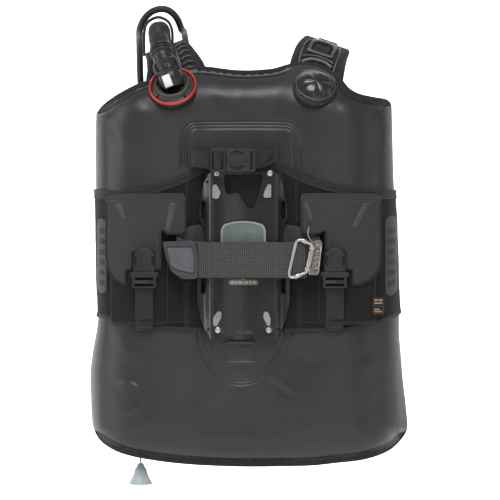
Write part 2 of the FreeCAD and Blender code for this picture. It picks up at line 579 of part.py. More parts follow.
PIECES = {"side_panels": 2, "trim_pockets": 2, "shoulder_buckles_female": 2, "d_ring_keepers": 2,
          "lp_hose_fittings": 2, "saddle_pads": 5, "plate_screws": 4}
for n, s in NODES.items():
    if not s.isValid() or not s.Solids or s.Volume < 20 or len(s.Solids) != PIECES.get(n, 1):
        print("CHECK", n, s.isValid(), len(s.Solids), round(s.Volume, 2))
    if any(not x.isClosed() for x in s.Shells):
        print("OPEN", n)
    s.exportStep("parts/" + n + ".step")
print(len(NODES), "nodes")
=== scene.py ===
import bpy
import bmesh
import math
import random
import numpy as np
from mathutils import Vector, Matrix, noise
from mathutils.geometry import delaunay_2d_cdt


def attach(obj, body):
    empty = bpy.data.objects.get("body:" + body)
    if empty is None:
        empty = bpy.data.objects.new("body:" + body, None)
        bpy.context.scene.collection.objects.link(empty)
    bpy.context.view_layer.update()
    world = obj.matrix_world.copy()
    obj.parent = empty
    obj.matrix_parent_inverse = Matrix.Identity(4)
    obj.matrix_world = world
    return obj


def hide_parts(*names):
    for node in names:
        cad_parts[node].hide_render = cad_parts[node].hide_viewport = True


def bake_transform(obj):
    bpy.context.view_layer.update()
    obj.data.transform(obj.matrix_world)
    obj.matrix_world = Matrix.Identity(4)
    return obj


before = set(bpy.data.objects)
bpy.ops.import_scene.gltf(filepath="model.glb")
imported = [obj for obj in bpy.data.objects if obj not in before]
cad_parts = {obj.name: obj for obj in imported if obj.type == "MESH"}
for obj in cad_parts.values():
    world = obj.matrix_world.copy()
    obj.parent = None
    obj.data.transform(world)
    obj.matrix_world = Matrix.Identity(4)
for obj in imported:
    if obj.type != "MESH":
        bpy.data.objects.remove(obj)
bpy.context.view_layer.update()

S = 0.001            # everything below is worked out in millimetres
RNG = random.Random(7)
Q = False

# =====================================================================
# materials
# =====================================================================


def sock(node, *names):
    for n in names:
        if n in node.inputs:
            return node.inputs[n]
    raise KeyError(names)


class Mat:
    def __init__(self, name, color, rough, metallic=0.0, spec=0.5, coat=0.0, coat_rough=0.15, sheen=0.0):
        self.m = bpy.data.materials.new(name)
        self.m.use_nodes = True
        self.nt = self.m.node_tree
        self.b = self.nt.nodes["Principled BSDF"]
        self.color, self.rough = color, rough
        self.b.inputs["Base Color"].default_value = (*color, 1)
        self.b.inputs["Roughness"].default_value = rough
        self.b.inputs["Metallic"].default_value = metallic
        self.b.inputs["Specular IOR Level"].default_value = spec
        self.b.inputs["Coat Weight"].default_value = coat
        self.b.inputs["Coat Roughness"].default_value = coat_rough
        self.b.inputs["Sheen Weight"].default_value = sheen
        self.b.inputs["Sheen Roughness"].default_value = 0.4
        self.h = None

    def n(self, kind, **kw):
        x = self.nt.nodes.new(kind)
        for k, v in kw.items():
            setattr(x, k, v)
        return x

    def link(self, a, b):
        self.nt.links.new(a, b)

    def coords(self, kind="object", scale=(1, 1, 1)):
        if kind == "wv":
            a = self.n("ShaderNodeAttribute", attribute_name="wv")
            out = a.outputs["Vector"]
        else:
            a = self.n("ShaderNodeTexCoord")
            out = a.outputs["Object"]
        mp = self.n("ShaderNodeMapping")
        mp.inputs["Scale"].default_value = scale
        self.link(out, mp.inputs["Vector"])
        return mp.outputs["Vector"]

    def noise(self, vec, scale, detail=3.0, rough=0.55):
        t = self.n("ShaderNodeTexNoise")
        t.inputs["Scale"].default_value = scale
        t.inputs["Detail"].default_value = detail
        t.inputs["Roughness"].default_value = rough
        self.link(vec, t.inputs["Vector"])
        return t.outputs["Fac"]

    def math(self, op, a, b=None, c=None):
        t = self.n("ShaderNodeMath", operation=op)
        for i, v in enumerate((a, b, c)):
            if v is None:
                continue
            if isinstance(v, (int, float)):
                t.inputs[i].default_value = v
            else:
                self.link(v, t.inputs[i])
        return t.outputs[0]

    def axis(self, vec, i):
        s = self.n("ShaderNodeSeparateXYZ")
        self.link(vec, s.inputs[0])
        return s.outputs[i]

    def sine(self, v, period, phase=0.0):
        return self.math("SINE", self.math("MULTIPLY_ADD", v, 2 * math.pi / period, phase))

    def add_bump(self, height, strength, distance):
        bm = self.n("ShaderNodeBump")
        bm.inputs["Strength"].default_value = strength
        bm.inputs["Distance"].default_value = distance
        self.link(height, bm.inputs["Height"])
        if self.h is not None:
            self.link(self.h, bm.inputs["Normal"])
        self.h = bm.outputs["Normal"]
        self.link(self.h, self.b.inputs["Normal"])
        return self

    def vary(self, fac, dark, light, lo=0.3, hi=0.7):
        r = self.n("ShaderNodeValToRGB")
        c = self.color
        r.color_ramp.elements[0].position = lo
        r.color_ramp.elements[1].position = hi
        r.color_ramp.elements[0].color = (*[x * dark for x in c], 1)
        r.color_ramp.elements[1].color = (*[min(1, x * light) for x in c], 1)
        self.link(fac, r.inputs["Fac"])
        self.link(r.outputs["Color"], self.b.inputs["Base Color"])
        return self

    def vary_rough(self, fac, lo, hi):
        m = self.n("ShaderNodeMapRange")
        m.inputs["To Min"].default_value = lo
        m.inputs["To Max"].default_value = hi
        m.inputs["From Min"].default_value = 0.3
        m.inputs["From Max"].default_value = 0.7
        self.link(fac, m.inputs["Value"])
        self.link(m.outputs[0], self.b.inputs["Roughness"])
        return self

    def wear(self, amount=1.6):
        """Adds nothing; the material is returned as it is."""
        return self


def coated_fabric():
    a = Mat("coated_fabric", (0.033, 0.0327, 0.0322), 0.36, spec=0.42, sheen=0.02)
    v = a.coords()
    big = a.noise(v, 9, 4)
    mid = a.noise(v, 60, 4)
    fine = a.noise(v, 1500, 2, 0.6)
    a.vary(big, 0.86, 1.16)
    a.vary_rough(a.math("MULTIPLY_ADD", mid, 0.6, a.math("MULTIPLY", big, 0.4)), 0.29, 0.42)
    sx, sz = a.sine(a.axis(v, 0), 0.0011), a.sine(a.axis(v, 2), 0.0011)
    a.add_bump(a.math("MULTIPLY", sx, sz), 0.10, 0.0002)
    a.add_bump(mid, 0.12, 0.004)
    a.add_bump(fine, 0.12, 0.0003)
    return a.m


def cordura(name="cordura", color=(0.0085, 0.0085, 0.0082)):
    a = Mat(name, color, 0.78, spec=0.3, sheen=0.10)
    v = a.coords()
    x, z = a.axis(v, 0), a.axis(v, 2)
    w = a.math("MULTIPLY", a.sine(x, 0.0017), a.sine(z, 0.0015))
    wob = a.noise(v, 700, 2)
    h = a.math("ADD", w, a.math("MULTIPLY", wob, 0.9))
    a.vary(a.math("MULTIPLY_ADD", h, 0.25, 0.45), 0.6, 1.65, 0.25, 0.8)
    a.add_bump(h, 0.55, 0.0005)
    a.add_bump(a.noise(v, 45, 3), 0.2, 0.004)
    a.vary_rough(wob, 0.70, 0.88)
    return a.m


def webbing(name, color, pu=0.0024, pv=0.0030, strength=0.7, rough=0.62):
    a = Mat(name, color, rough, spec=0.35, sheen=0.10)
    v = a.coords("wv")
    u, w = a.axis(v, 0), a.axis(v, 1)
    rib = a.math("MULTIPLY", a.sine(u, pu), a.sine(w, pv))
    cross = a.sine(u, pu / 2, 0.7)
    h = a.math("ADD", rib, a.math("MULTIPLY", cross, 0.35))
    nz = a.noise(a.coords(), 420, 3)
    h2 = a.math("ADD", h, a.math("MULTIPLY", nz, 0.8))
    a.vary(a.math("MULTIPLY_ADD", h2, 0.22, 0.42), 0.55, 1.75, 0.2, 0.85)
    a.add_bump(h2, strength, 0.0007)
    a.vary_rough(nz, rough - 0.08, rough + 0.14)
    return a.m


def plastic(name, color, rough=0.32, coat=0.0, spec=0.5, grain=0.10, gscale=900):
    a = Mat(name, color, rough, spec=spec, coat=coat)
    v = a.coords()
    big = a.noise(v, 35, 4)
    fine = a.noise(v, gscale, 2)
    a.vary(big, 0.85, 1.2)
    a.vary_rough(a.math("MULTIPLY_ADD", fine, 0.5, a.math("MULTIPLY", big, 0.5)), rough * 0.85, rough * 1.3)
    a.add_bump(fine, grain, 0.0002)
    return a.m


def rubber(name, color, rough=0.6):
    a = Mat(name, color, rough, spec=0.4)
    v = a.coords()
    big = a.noise(v, 60, 3)
    fine = a.noise(v, 1100, 3)
    a.vary(big, 0.88, 1.12)
    a.vary_rough(fine, rough - 0.08, rough + 0.12)
    a.add_bump(fine, 0.22, 0.0003)
    return a.m


def steel(name="steel", color=(0.60, 0.57, 0.53), rough=0.22, stretch=(1, 1, 1)):
    a = Mat(name, color, rough, metallic=1.0)
    v = a.coords("object", stretch)
    br = a.noise(v, 260, 4)
    big = a.noise(v, 40, 3)
    a.vary(big, 0.88, 1.06)
    a.vary_rough(br, rough * 0.85, rough * 1.25)
    a.add_bump(big, 0.02, 0.0002)
    return a.m


def thread(color=(0.030, 0.030, 0.030)):
    a = Mat("thread", color, 0.6, sheen=0.15)
    f = a.noise(a.coords(), 2500, 2)
    a.vary(f, 0.6, 1.7)
    a.add_bump(f, 0.4, 0.0002)
    return a.m


def band_webbing():
    """Coarse weave: rows of small raised squares with dark gaps."""
    a = Mat("webbing_50", (0.052, 0.052, 0.053), 0.55, spec=0.4, sheen=0.10)
    v = a.coords("wv")
    u, w = a.axis(v, 0), a.axis(v, 1)
    rib = a.math("MULTIPLY", a.math("ADD", a.sine(u, 0.0030), a.sine(w, 0.0030)), 0.25)
    nz = a.noise(a.coords(), 420, 3)
    h = a.math("ADD", a.math("ADD", rib, 0.40), a.math("MULTIPLY", nz, 0.2))
    a.vary(h, 0.28, 2.1, 0.25, 0.85)
    a.add_bump(h, 0.9, 0.0009)
    a.vary_rough(nz, 0.48, 0.68)
    return a.m


M_CELL = coated_fabric()
M_CORD = cordura()
M_CORD2 = cordura("cordura_flap", (0.040, 0.040, 0.039))
M_BIND = webbing("binding_tape", (0.020, 0.020, 0.020), 0.0016, 0.0022, 0.5)
M_BINDG = plastic("coated_binding", (0.046, 0.046, 0.046), 0.40, grain=0.2, gscale=600)
M_WEB = webbing("webbing_25", (0.021, 0.021, 0.021), 0.0022, 0.0031)
M_BAND = band_webbing()
M_BLACK = plastic("black_acetal", (0.018, 0.018, 0.018), 0.36, spec=0.5, grain=0.03)
M_PLATE = plastic("plate_plastic", (0.0165, 0.0155, 0.015), 0.26, coat=0.30, grain=0.004, gscale=500)
M_GLOSS = plastic("gloss_black", (0.020, 0.020, 0.020), 0.24, coat=0.25, grain=0.01)
M_GREYBLK = plastic("grey_black", (0.050, 0.050, 0.048), 0.32, grain=0.02)
M_RED = plastic("red_ring", (0.48, 0.028, 0.022), 0.30, coat=0.3)
M_PAD = rubber("grey_green_rubber", (0.270, 0.330, 0.315), 0.55)
M_PAD2 = rubber("grey_green_rubber_raised", (0.150, 0.200, 0.190), 0.5)
M_GRIP = rubber("grip_rubber", (0.052, 0.054, 0.057), 0.5)
M_GRIP2 = rubber("grip_rubber_inner", (0.105, 0.110, 0.118), 0.55)
M_TOGGLE = plastic("toggle_plastic", (0.44, 0.51, 0.535), 0.5, grain=0.25)
M_BUTTON = plastic("button_plastic", (0.30, 0.33, 0.35), 0.45)
M_RUBBER = rubber("black_rubber", (0.020, 0.020, 0.020), 0.5)
M_STRAP = rubber("strap_moulding", (0.028, 0.028, 0.028), 0.42)
# lighter coated trim; on the strap's glossy edge its light colour is a painted highlight
M_TRIM_AND_HIGHLIGHT = plastic("strap_trim", (0.095, 0.095, 0.092), 0.28, coat=0.3, grain=0.02)
M_STEEL = steel("steel", (0.60, 0.57, 0.53), 0.33)
M_STEELD = steel("steel_pressed", (0.26, 0.25, 0.235), 0.42)
M_BADGE = steel("badge_metal", (0.60, 0.56, 0.46), 0.3, (1, 1, 12))
M_THREAD = thread()
M_THREADL = thread((0.075, 0.075, 0.074))
M_LABEL = plastic("blank_label", (0.86, 0.86, 0.85), 0.5, grain=0.2)
M_SHEEN = plastic("transfer_film", (0.050, 0.051, 0.052), 0.42, grain=0.4, gscale=300)
M_PRINT = plastic("flap_print", (0.055, 0.055, 0.054), 0.55, grain=0.5, gscale=300)
# near-black material for painted shade in holes, slots, gaps and openings
M_SHADOW = rubber("painted_shade_black", (0.008, 0.008, 0.008), 0.8)
M_FOAM = cordura("spacer_mesh", (0.030, 0.030, 0.033))
M_ORANGE = webbing("woven_tag", (0.02, 0.02, 0.02), 0.0012, 0.0012, 0.4)
M_TAGMARK = plastic("tag_mark", (0.45, 0.20, 0.05), 0.6)
M_TAGWHITE = plastic("tag_white", (0.5, 0.5, 0.48), 0.6)

# =====================================================================
# mesh helpers (millimetres in, metres out)
# =====================================================================
OBJ = {}


def mk(name, verts, faces, mat, body="vest", rep=(), slot=None, smooth=True, wv=None, parent=None,
       normals=True):
    me = bpy.data.meshes.new(name)
    v = np.asarray(verts, float) * S
    me.from_pydata(v.tolist(), [], [tuple(int(i) for i in f) for f in faces])
    if wv is not None:
        at = me.attributes.new("wv", "FLOAT_VECTOR", "POINT")
        at.data.foreach_set("vector", (np.asarray(wv, np.float32) * S).ravel())
    me.materials.append(mat)
    if smooth:
        me.polygons.foreach_set("use_smooth", [True] * len(me.polygons))
    me.update()
    o = bpy.data.objects.new(name, me)
    bpy.context.scene.collection.objects.link(o)
    if normals:
        bm = bmesh.new()
        bm.from_mesh(me)
        bmesh.ops.remove_doubles(bm, verts=bm.verts, dist=1e-6)
        bmesh.ops.recalc_face_normals(bm, faces=bm.faces)
        bm.to_mesh(me)
        bm.free()
    if body is not None:
        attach(o, body)
    if rep:
        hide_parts(*([rep] if isinstance(rep, str) else rep))
    OBJ[name] = o
    return o


def solidify(o, t, offset=1.0):
    m = o.modifiers.new("s", "SOLIDIFY")
    m.thickness = t * S
    m.offset = offset
    m.use_even_offset = True
    return o


def bevel(o, w, seg=2, angle=35):
    m = o.modifiers.new("b", "BEVEL")
    m.width = w * S
    m.segments = seg
    m.limit_method = "ANGLE"
    m.angle_limit = math.radians(angle)
    m.harden_normals = False
    return o


def autosmooth(o, angle=40):
    try:
        o.data.shade_smooth() if hasattr(o.data, "shade_smooth") else None
        for e in o.data.edges:
            e.use_edge_sharp = False
        bm = bmesh.new()
        bm.from_mesh(o.data)
        for e in bm.edges:
            if len(e.link_faces) == 2 and e.calc_face_angle(0) > math.radians(angle):
                e.smooth = False
        bm.to_mesh(o.data)
        bm.free()
    except Exception as ex:
        print("autosmooth", o.name, ex)
    return o


def catmull(pts, n=6, closed=False):
    pts = [tuple(p) for p in pts]
    out = []
    m = len(pts)
    rng = m if closed else m - 1
    for i in range(rng):
        if closed:
            p0, p1, p2, p3 = pts[(i - 1) % m], pts[i], pts[(i + 1) % m], pts[(i + 2) % m]
        else:
            p0, p1, p2, p3 = pts[max(i - 1, 0)], pts[i], pts[i + 1], pts[min(i + 2, m - 1)]
        for k in range(n):
            t = k / n
            out.append(tuple(0.5 * (2 * b + (c - a) * t + (2 * a - 5 * b + 4 * c - d) * t * t
                                    + (3 * b - a - 3 * c + d) * t ** 3)
                             for a, b, c, d in zip(p0, p1, p2, p3)))
    if not closed:
        out.append(pts[-1])
    return out


def resample(pts, n, closed=False):
    p = np.asarray(pts, float)
    if closed:
        p = np.vstack([p, p[:1]])
    d = np.r_[0, np.cumsum(np.linalg.norm(np.diff(p, axis=0), axis=1))]
    t = np.linspace(0, d[-1], n + 1 if closed else n)
    q = np.stack([np.interp(t, d, p[:, k]) for k in range(p.shape[1])], 1)
    return q[:-1] if closed else q


def by_step(pts, step, closed=False):
    p = np.asarray(pts, float)
    pp = np.vstack([p, p[:1]]) if closed else p
    L = np.linalg.norm(np.diff(pp, axis=0), axis=1).sum()
    return resample(p, max(3, int(round(L / step))), closed)


def rounded(poly, r, n=5):
    """Polygon with its corners rounded by r (or a list of radii)."""
    out = []
    m = len(poly)
    for i in range(m):
        a, b, c = (np.array(poly[(i + k) % m], float) for k in (-1, 0, 1))
        rr = r[i] if isinstance(r, (list, tuple)) else r
        u, v = a - b, c - b
        lu, lv = np.linalg.norm(u), np.linalg.norm(v)
        u, v = u / lu, v / lv
        ang = math.acos(max(-1, min(1, float(u @ v))))
        if rr <= 0 or ang > math.pi - 0.05:
            out.append(tuple(b))
            continue
        s = min(rr / math.tan(ang / 2), 0.48 * lu, 0.48 * lv)
        p, q = b + u * s, b + v * s
        for k in range(n + 1):
            t = k / n
            out.append(tuple((1 - t) ** 2 * p + 2 * t * (1 - t) * b + t * t * q))
    return out


def inside(poly, x, y):
    c = False
    j = len(poly) - 1
    for i in range(len(poly)):
        xi, yi = poly[i][0], poly[i][1]
        xj, yj = poly[j][0], poly[j][1]
        if (yi > y) != (yj > y) and x < (xj - xi) * (y - yi) / (yj - yi) + xi:
            c = not c
        j = i
    return c


def tri2d(outline, holes=(), spacing=3.0, step=None):
    """Points and triangles that fill an outline, with holes left open."""
    step = step or spacing
    loops = [by_step(outline, step, True)] + [by_step(h, min(step, 1.2), True) for h in holes]
    pts, edges = [], []
    for lp in loops:
        b = len(pts)
        pts += [Vector((float(p[0]), float(p[1]))) for p in lp]
        edges += [(b + i, b + (i + 1) % len(lp)) for i in range(len(lp))]
    allb = np.vstack(loops)
    x0, y0 = loops[0].min(0)
    x1, y1 = loops[0].max(0)
    rows = int((y1 - y0) / (spacing * 0.87)) + 1
    for r in range(rows):
        y = y0 + (r + 0.5) * spacing * 0.87
        cols = int((x1 - x0) / spacing) + 1
        for c in range(cols):
            x = x0 + (c + (0.5 if r % 2 else 0.0)) * spacing
            if not inside(loops[0], x, y) or any(inside(h, x, y) for h in loops[1:]):
                continue
            if np.min(np.hypot(allb[:, 0] - x, allb[:, 1] - y)) < spacing * 0.55:
                continue
            pts.append(Vector((x, y)))
    res = delaunay_2d_cdt(pts, edges, [], 1, 1e-5)
    vs, fs = res[0], res[2]
    keep = []
    for f in fs:
        cx = sum(vs[i].x for i in f) / len(f)
        cy = sum(vs[i].y for i in f) / len(f)
        if inside(loops[0], cx, cy) and not any(inside(h, cx, cy) for h in loops[1:]):
            keep.append(f)
    return [(v.x, v.y) for v in vs], keep


def slab(name, outline, front, back, mat, holes=(), spacing=3.0, step=None, place=None, bev=0.0,
         smooth=True, **kw):
    """A plate: outline in (a, b); front and back give the third coordinate; place maps to xyz."""
    p2, fs = tri2d(outline, holes, spacing, step)
    n = len(p2)
    place = place or (lambda a, b, c: (a, c, b))
    fr = [place(a, b, front(a, b) if callable(front) else front) for a, b in p2]
    bk = [place(a, b, back(a, b) if callable(back) else back) for a, b in p2]
    faces = [tuple(f) for f in fs] + [tuple(i + n for i in f[::-1]) for f in fs]
    cnt = {}
    for f in fs:
        for i in range(len(f)):
            e = (f[i], f[(i + 1) % len(f)])
            cnt[e] = cnt.get(e, 0) + 1
    for (a, b) in list(cnt):
        if (b, a) not in cnt:
            faces.append((b, a, a + n, b + n))
    wv = [(a, b, 0) for a, b in p2] * 2
    o = mk(name, fr + bk, faces, mat, wv=wv, smooth=smooth, normals=False, **kw)
    bm = bmesh.new()
    bm.from_mesh(o.data)
    bmesh.ops.recalc_face_normals(bm, faces=bm.faces)
    for e in bm.edges:
        if len(e.link_faces) == 2 and e.calc_face_angle(0) > math.radians(38):
            e.smooth = False
    bm.to_mesh(o.data)
    bm.free()
    if bev:
        bevel(o, bev)
    return o


def skin(name, outline, fn, mat, holes=(), spacing=3.0, step=None, t=2.0, off=-1.0, **kw):
    """A sheet laid over fn(a, b) -> xyz, thickened away from the viewer."""
    p2, fs = tri2d(outline, holes, spacing, step)
    vs = [fn(a, b) for a, b in p2]
    o = mk(name, vs, fs, mat, wv=[(a, b, 0) for a, b in p2], normals=False, **kw)
    me = o.data
    if sum(p.normal.y * p.area for p in me.polygons) > 0:
        me.flip_normals()
    if t:
        solidify(o, t, off)
    return o


def ribbon(name, pts, wvec, t, mat, width=None, seg=6, wseg=8, round_=0.45, crown=0.0, **kw):
    """Strap: pts are centres, wvec the half-width vector (one, or one per point), t the thickness."""
    n0 = len(pts)
    W = [wvec] * n0 if not isinstance(wvec[0], (tuple, list, np.ndarray)) else wvec
    path = [tuple(p) + tuple(w) for p, w in zip(pts, W)]
    d = np.array(catmull(path, seg))
    P, Wd = d[:, :3], d[:, 3:6]
    n = len(P)
    T = np.gradient(P, axis=0)
    T /= np.linalg.norm(T, axis=1)[:, None]
    N = np.cross(T, Wd)
    N /= np.linalg.norm(N, axis=1)[:, None]
    L = np.r_[0, np.cumsum(np.linalg.norm(np.diff(P, axis=0), axis=1))]
    # section: (across -1..1, out in units of t/2)
    hw = float(np.linalg.norm(Wd[0]))
    e = min(t * round_, hw * 0.4) / hw
    sec = []
    for i in range(wseg + 1):
        a = -1 + e + (2 - 2 * e) * i / wseg
        sec.append((a, 1 + crown * (1 - a * a)))
    sec += [(1 - e * 0.3, 0.72), (1, 0.0), (1 - e * 0.3, -0.72)]
    for i in range(wseg + 1):
        a = 1 - e - (2 - 2 * e) * i / wseg
        sec.append((a, -1))
    sec += [(-1 + e * 0.3, -0.72), (-1, 0.0), (-1 + e * 0.3, 0.72)]
    m = len(sec)
    V, wv = [], []
    for i in range(n):
        for a, b in sec:
            V.append(P[i] + Wd[i] * a + N[i] * (t / 2) * b)
            wv.append((L[i], a * hw + (200 if b < 0 else 0), 0))
    F = []
    for i in range(n - 1):
        for k in range(m):
            l = (k + 1) % m
            F.append((i * m + k, (i + 1) * m + k, (i + 1) * m + l, i * m + l))
    F.append(tuple(range(m)))
    F.append(tuple((n - 1) * m + k for k in range(m - 1, -1, -1)))
    o = mk(name, V, F, mat, wv=wv, **kw)
    return o, P, Wd / np.linalg.norm(Wd, axis=1)[:, None], N, L


def frames(P):
    """Rotation-minimising frames along a path."""
    P = np.asarray(P, float)
    T = np.gradient(P, axis=0)
    T /= np.linalg.norm(T, axis=1)[:, None]
    a = np.array([1.0, 0, 0]) if abs(T[0][0]) < 0.9 else np.array([0, 1.0, 0])
    U = [np.cross(T[0], a)]
    U[0] /= np.linalg.norm(U[0])
    for i in range(1, len(P)):
        u = U[-1] - T[i] * (U[-1] @ T[i])
        U.append(u / np.linalg.norm(u))
    U = np.array(U)
    return T, U, np.cross(T, U)


def pipe(name, P, r, mat, seg=16, cap=True, sub=0, **kw):
    """Tube along points; r is a number, a list, or a function of (length, angle)."""
    P = np.asarray(P, float)
    T, U, W = frames(P)
    L = np.r_[0, np.cumsum(np.linalg.norm(np.diff(P, axis=0), axis=1))]
    V, wv, F = [], [], []
    n = len(P)
    for i in range(n):
        for k in range(seg):
            a = 2 * math.pi * k / seg
            rr = r(L[i], a) if callable(r) else (r[i] if hasattr(r, "__len__") else r)
            V.append(P[i] + (U[i] * math.cos(a) + W[i] * math.sin(a)) * rr)
            wv.append((L[i], a / math.pi * 10, 0))
    for i in range(n - 1):
        for k in range(seg):
            l = (k + 1) % seg
            F.append((i * seg + k, i * seg + l, (i + 1) * seg + l, (i + 1) * seg + k))
    if cap:
        F.append(tuple(range(seg - 1, -1, -1)))
        F.append(tuple((n - 1) * seg + k for k in range(seg)))
    return mk(name, V, F, mat, wv=wv, **kw)


def turned(q, h):
    """A modifier may give a radius alone, or a radius and a height."""
    return q if isinstance(q, tuple) else (q, h)


def lathe(name, prof, origin, axis, mat, seg=64, mod=None, closed=False, sharp=None, **kw):
    """Turn (radius, along) points about axis from origin; mod(r, h, angle) may change the radius."""
    o = np.array(origin, float)
    z = np.array(axis, float)
    z /= np.linalg.norm(z)
    a = np.array([0, 0, 1.0]) if abs(z[2]) < 0.9 else np.array([1.0, 0, 0])
    x = np.cross(a, z)
    x /= np.linalg.norm(x)
    y = np.cross(z, x)
    V, F = [], []
    m = len(prof)
    for k in range(seg):
        t = 2 * math.pi * k / seg
        for r, h in prof:
            rr, hh = (r, h) if mod is None else turned(mod(r, h, t), h)
            V.append(o + z * hh + (x * math.cos(t) + y * math.sin(t)) * rr)
    rng = m if closed else m - 1
    for k in range(seg):
        l = (k + 1) % seg
        for i in range(rng):
            j = (i + 1) % m
            F.append((k * m + i, k * m + j, l * m + j, l * m + i))
    ob = mk(name, V, F, mat, **kw)
    autosmooth(ob, sharp or 42)
    return ob


def stitches(name, P, N, mat, pitch=3.6, length=2.4, r=0.32, lift=0.15, body="vest", slot=None):
    """A row of thread stitches along path P (mm) lying on a surface with normals N."""
    P = np.asarray(P, float)
    N = np.asarray(N, float)
    if N.ndim == 1:
        N = np.tile(N, (len(P), 1))
    d = np.r_[0, np.cumsum(np.linalg.norm(np.diff(P, axis=0), axis=1))]
    cnt = max(1, int(d[-1] / pitch))
    V, F = [], []
    for i in range(cnt):
        a, b = (i + 0.15) * pitch, (i + 0.15) * pitch + length
        if b > d[-1]:
            break
        ts = np.linspace(a, b, 4)
        pts = np.stack([np.interp(ts, d, P[:, k]) for k in range(3)], 1)
        nn = np.stack([np.interp(ts, d, N[:, k]) for k in range(3)], 1)
        nn /= np.linalg.norm(nn, axis=1)[:, None] + 1e-9
        tt = pts[-1] - pts[0]
        tt /= np.linalg.norm(tt) + 1e-9
        base = len(V)
        for q, (p, nv) in enumerate(zip(pts, nn)):
            s = np.cross(tt, nv)
            s /= np.linalg.norm(s) + 1e-9
            h = lift * (1.0 if q in (1, 2) else -0.6)
            rr = r if q in (1, 2) else r * 0.6
            for c in range(5):
                an = 2 * math.pi * c / 5
                V.append(p + nv * (h + rr * math.sin(an)) + s * rr * math.cos(an))
        for q in range(3):
            for c in range(5):
                e = (c + 1) % 5
                F.append((base + q * 5 + c, base + q * 5 + e, base + (q + 1) * 5 + e, base + (q + 1) * 5 + c))
        F.append(tuple(base + c for c in range(4, -1, -1)))
        F.append(tuple(base + 15 + c for c in range(5)))
    return mk(name, V, F, mat, body=body, slot=slot)


def join(name, objs):
    """One object out of several that ride on the same body."""
    bpy.ops.object.select_all(action="DESELECT")
    for o in objs:
        bpy.context.view_layer.objects.active = o
        for m in list(o.modifiers):
            bpy.ops.object.modifier_apply(modifier=m.name)
    for o in objs:
        o.select_set(True)
    bpy.context.view_layer.objects.active = objs[0]
    bpy.ops.object.join()
    objs[0].name = name
    OBJ[name] = objs[0]
    return objs[0]


def tape(name, P, out, nrm, w, t, mat, closed=False, seg=1, over=1.2, ripple=0.0, **kw):
    """Binding tape folded over an edge: P edge points, out the direction off the edge, nrm the face normal."""
    P, out, nrm = (np.asarray(a, float) for a in (P, out, nrm))
    sec = [(-w, 0.35), (-w + 0.6, 0.5), (-w * 0.5, 0.56), (-1.0, 0.5), (over * 0.6, 0.36), (over, 0.0),
           (over * 0.6, -0.36), (-1.0, -0.5), (-w * 0.5, -0.56), (-w + 0.6, -0.5), (-w, -0.35)]
    m = len(sec)
    n = len(P)
    L = np.r_[0, np.cumsum(np.linalg.norm(np.diff(P, axis=0), axis=1))]
    V, wv, F = [], [], []
    for i in range(n):
        rp = 1 + ripple * math.sin(L[i] * 1.9 + 2.0 * noise.noise((L[i] * 0.05, 3.1, 0)))
        for a, b in sec:
            V.append(P[i] + out[i] * a + nrm[i] * b * t * rp)
            wv.append((L[i], a, 0))
    rng = n if closed else n - 1
    for i in range(rng):
        j = (i + 1) % n
        for k in range(m):
            l = (k + 1) % m
            F.append((i * m + k, j * m + k, j * m + l, i * m + l))
    if not closed:
        F.append(tuple(range(m)))
        F.append(tuple((n - 1) * m + k for k in range(m - 1, -1, -1)))
    return mk(name, V, F, mat, wv=wv, **kw)

# =====================================================================
# the air cell
# =====================================================================
HALF = [(0, 12), (30, 11.8), (50, 11), (75, 5), (100, 0.5), (122, -1), (145, 0), (165, 6),
        (185, 18), (200, 33), (212, 51), (224, 75), (238, 106)]
PROF = np.array(catmull([(-x, y) for x, y in HALF[:0:-1]] + HALF, 14))
OUTLINE = [(-129.7, 251.6), (-147.7, 244.6), (-167.2, 234.9), (-183.9, 225.2), (-196.4, 216.8),
           (-204.7, 208.5), (-207.5, 197.4), (-207.5, 111.2), (-206.1, 13.9), (-204.7, -41.7),
           (-203.3, -72.3), (-206.1, -97.3), (-210.3, -119.5), (-214.5, -144.6), (-215.9, -166.8),
           (-214.5, -215.4), (-211.7, -236.3), (-202.0, -251.6), (-185.3, -262.7), (-163.0, -271.0),
           (-129.7, -278.0), (-88.0, -283.6), (-43.5, -287.0), (9.3, -288.4), (62.1, -287.7),
           (96.9, -286.3), (133.0, -282.2), (167.8, -278.0), (202.5, -268.3), (220.6, -257.1),
           (231.7, -244.6), (233.1, -232.1), (230.3, -202.9), (226.2, -169.6), (223.4, -136.2),
           (220.6, -102.9), (220.6, -72.3), (219.2, -41.7), (217.8, -2.8), (215.0, 63.9),
           (212.3, 104.2), (210.9, 139.0), (209.5, 197.4), (208.1, 216.8), (201.1, 224.5),
           (183.1, 226.6), (162.2, 230.7), (146.9, 239.1), (135.8, 253.0), (120.5, 265.5),
           (103.8, 273.8), (83.0, 276.6), (64.9, 273.8), (44.1, 267.6), (26.0, 265.5),
           (9.3, 264.5), (-8.7, 264.8), (-25.4, 266.5), (-49.1, 269.7), (-67.1, 269.7),
           (-88.0, 266.9), (-108.8, 261.3)]
LOOP = by_step(catmull(OUTLINE, 8, True), 3.0, True)


def ss(a, b, x):
    t = np.clip((np.asarray(x, float) - a) / (b - a), 0, 1)
    return t * t * (3 - 2 * t)


def smax(a, b, k):
    h = np.clip(0.5 + 0.5 * (a - b) / k, 0, 1)
    return b * (1 - h) + a * h + k * h * (1 - h)


def loop_normals(loop, span=7):
    t = np.roll(loop, -1, 0) - np.roll(loop, 1, 0)
    n = np.stack([t[:, 1], -t[:, 0]], 1)
    n /= np.linalg.norm(n, axis=1)[:, None]
    acc = sum(np.roll(n, k, 0) for k in range(-span, span + 1))
    return acc / np.linalg.norm(acc, axis=1)[:, None]


area2 = float(np.sum(LOOP[:, 0] * np.roll(LOOP[:, 1], -1) - np.roll(LOOP[:, 0], -1) * LOOP[:, 1]))
LN = loop_normals(LOOP) * (1 if area2 > 0 else -1)          # outward


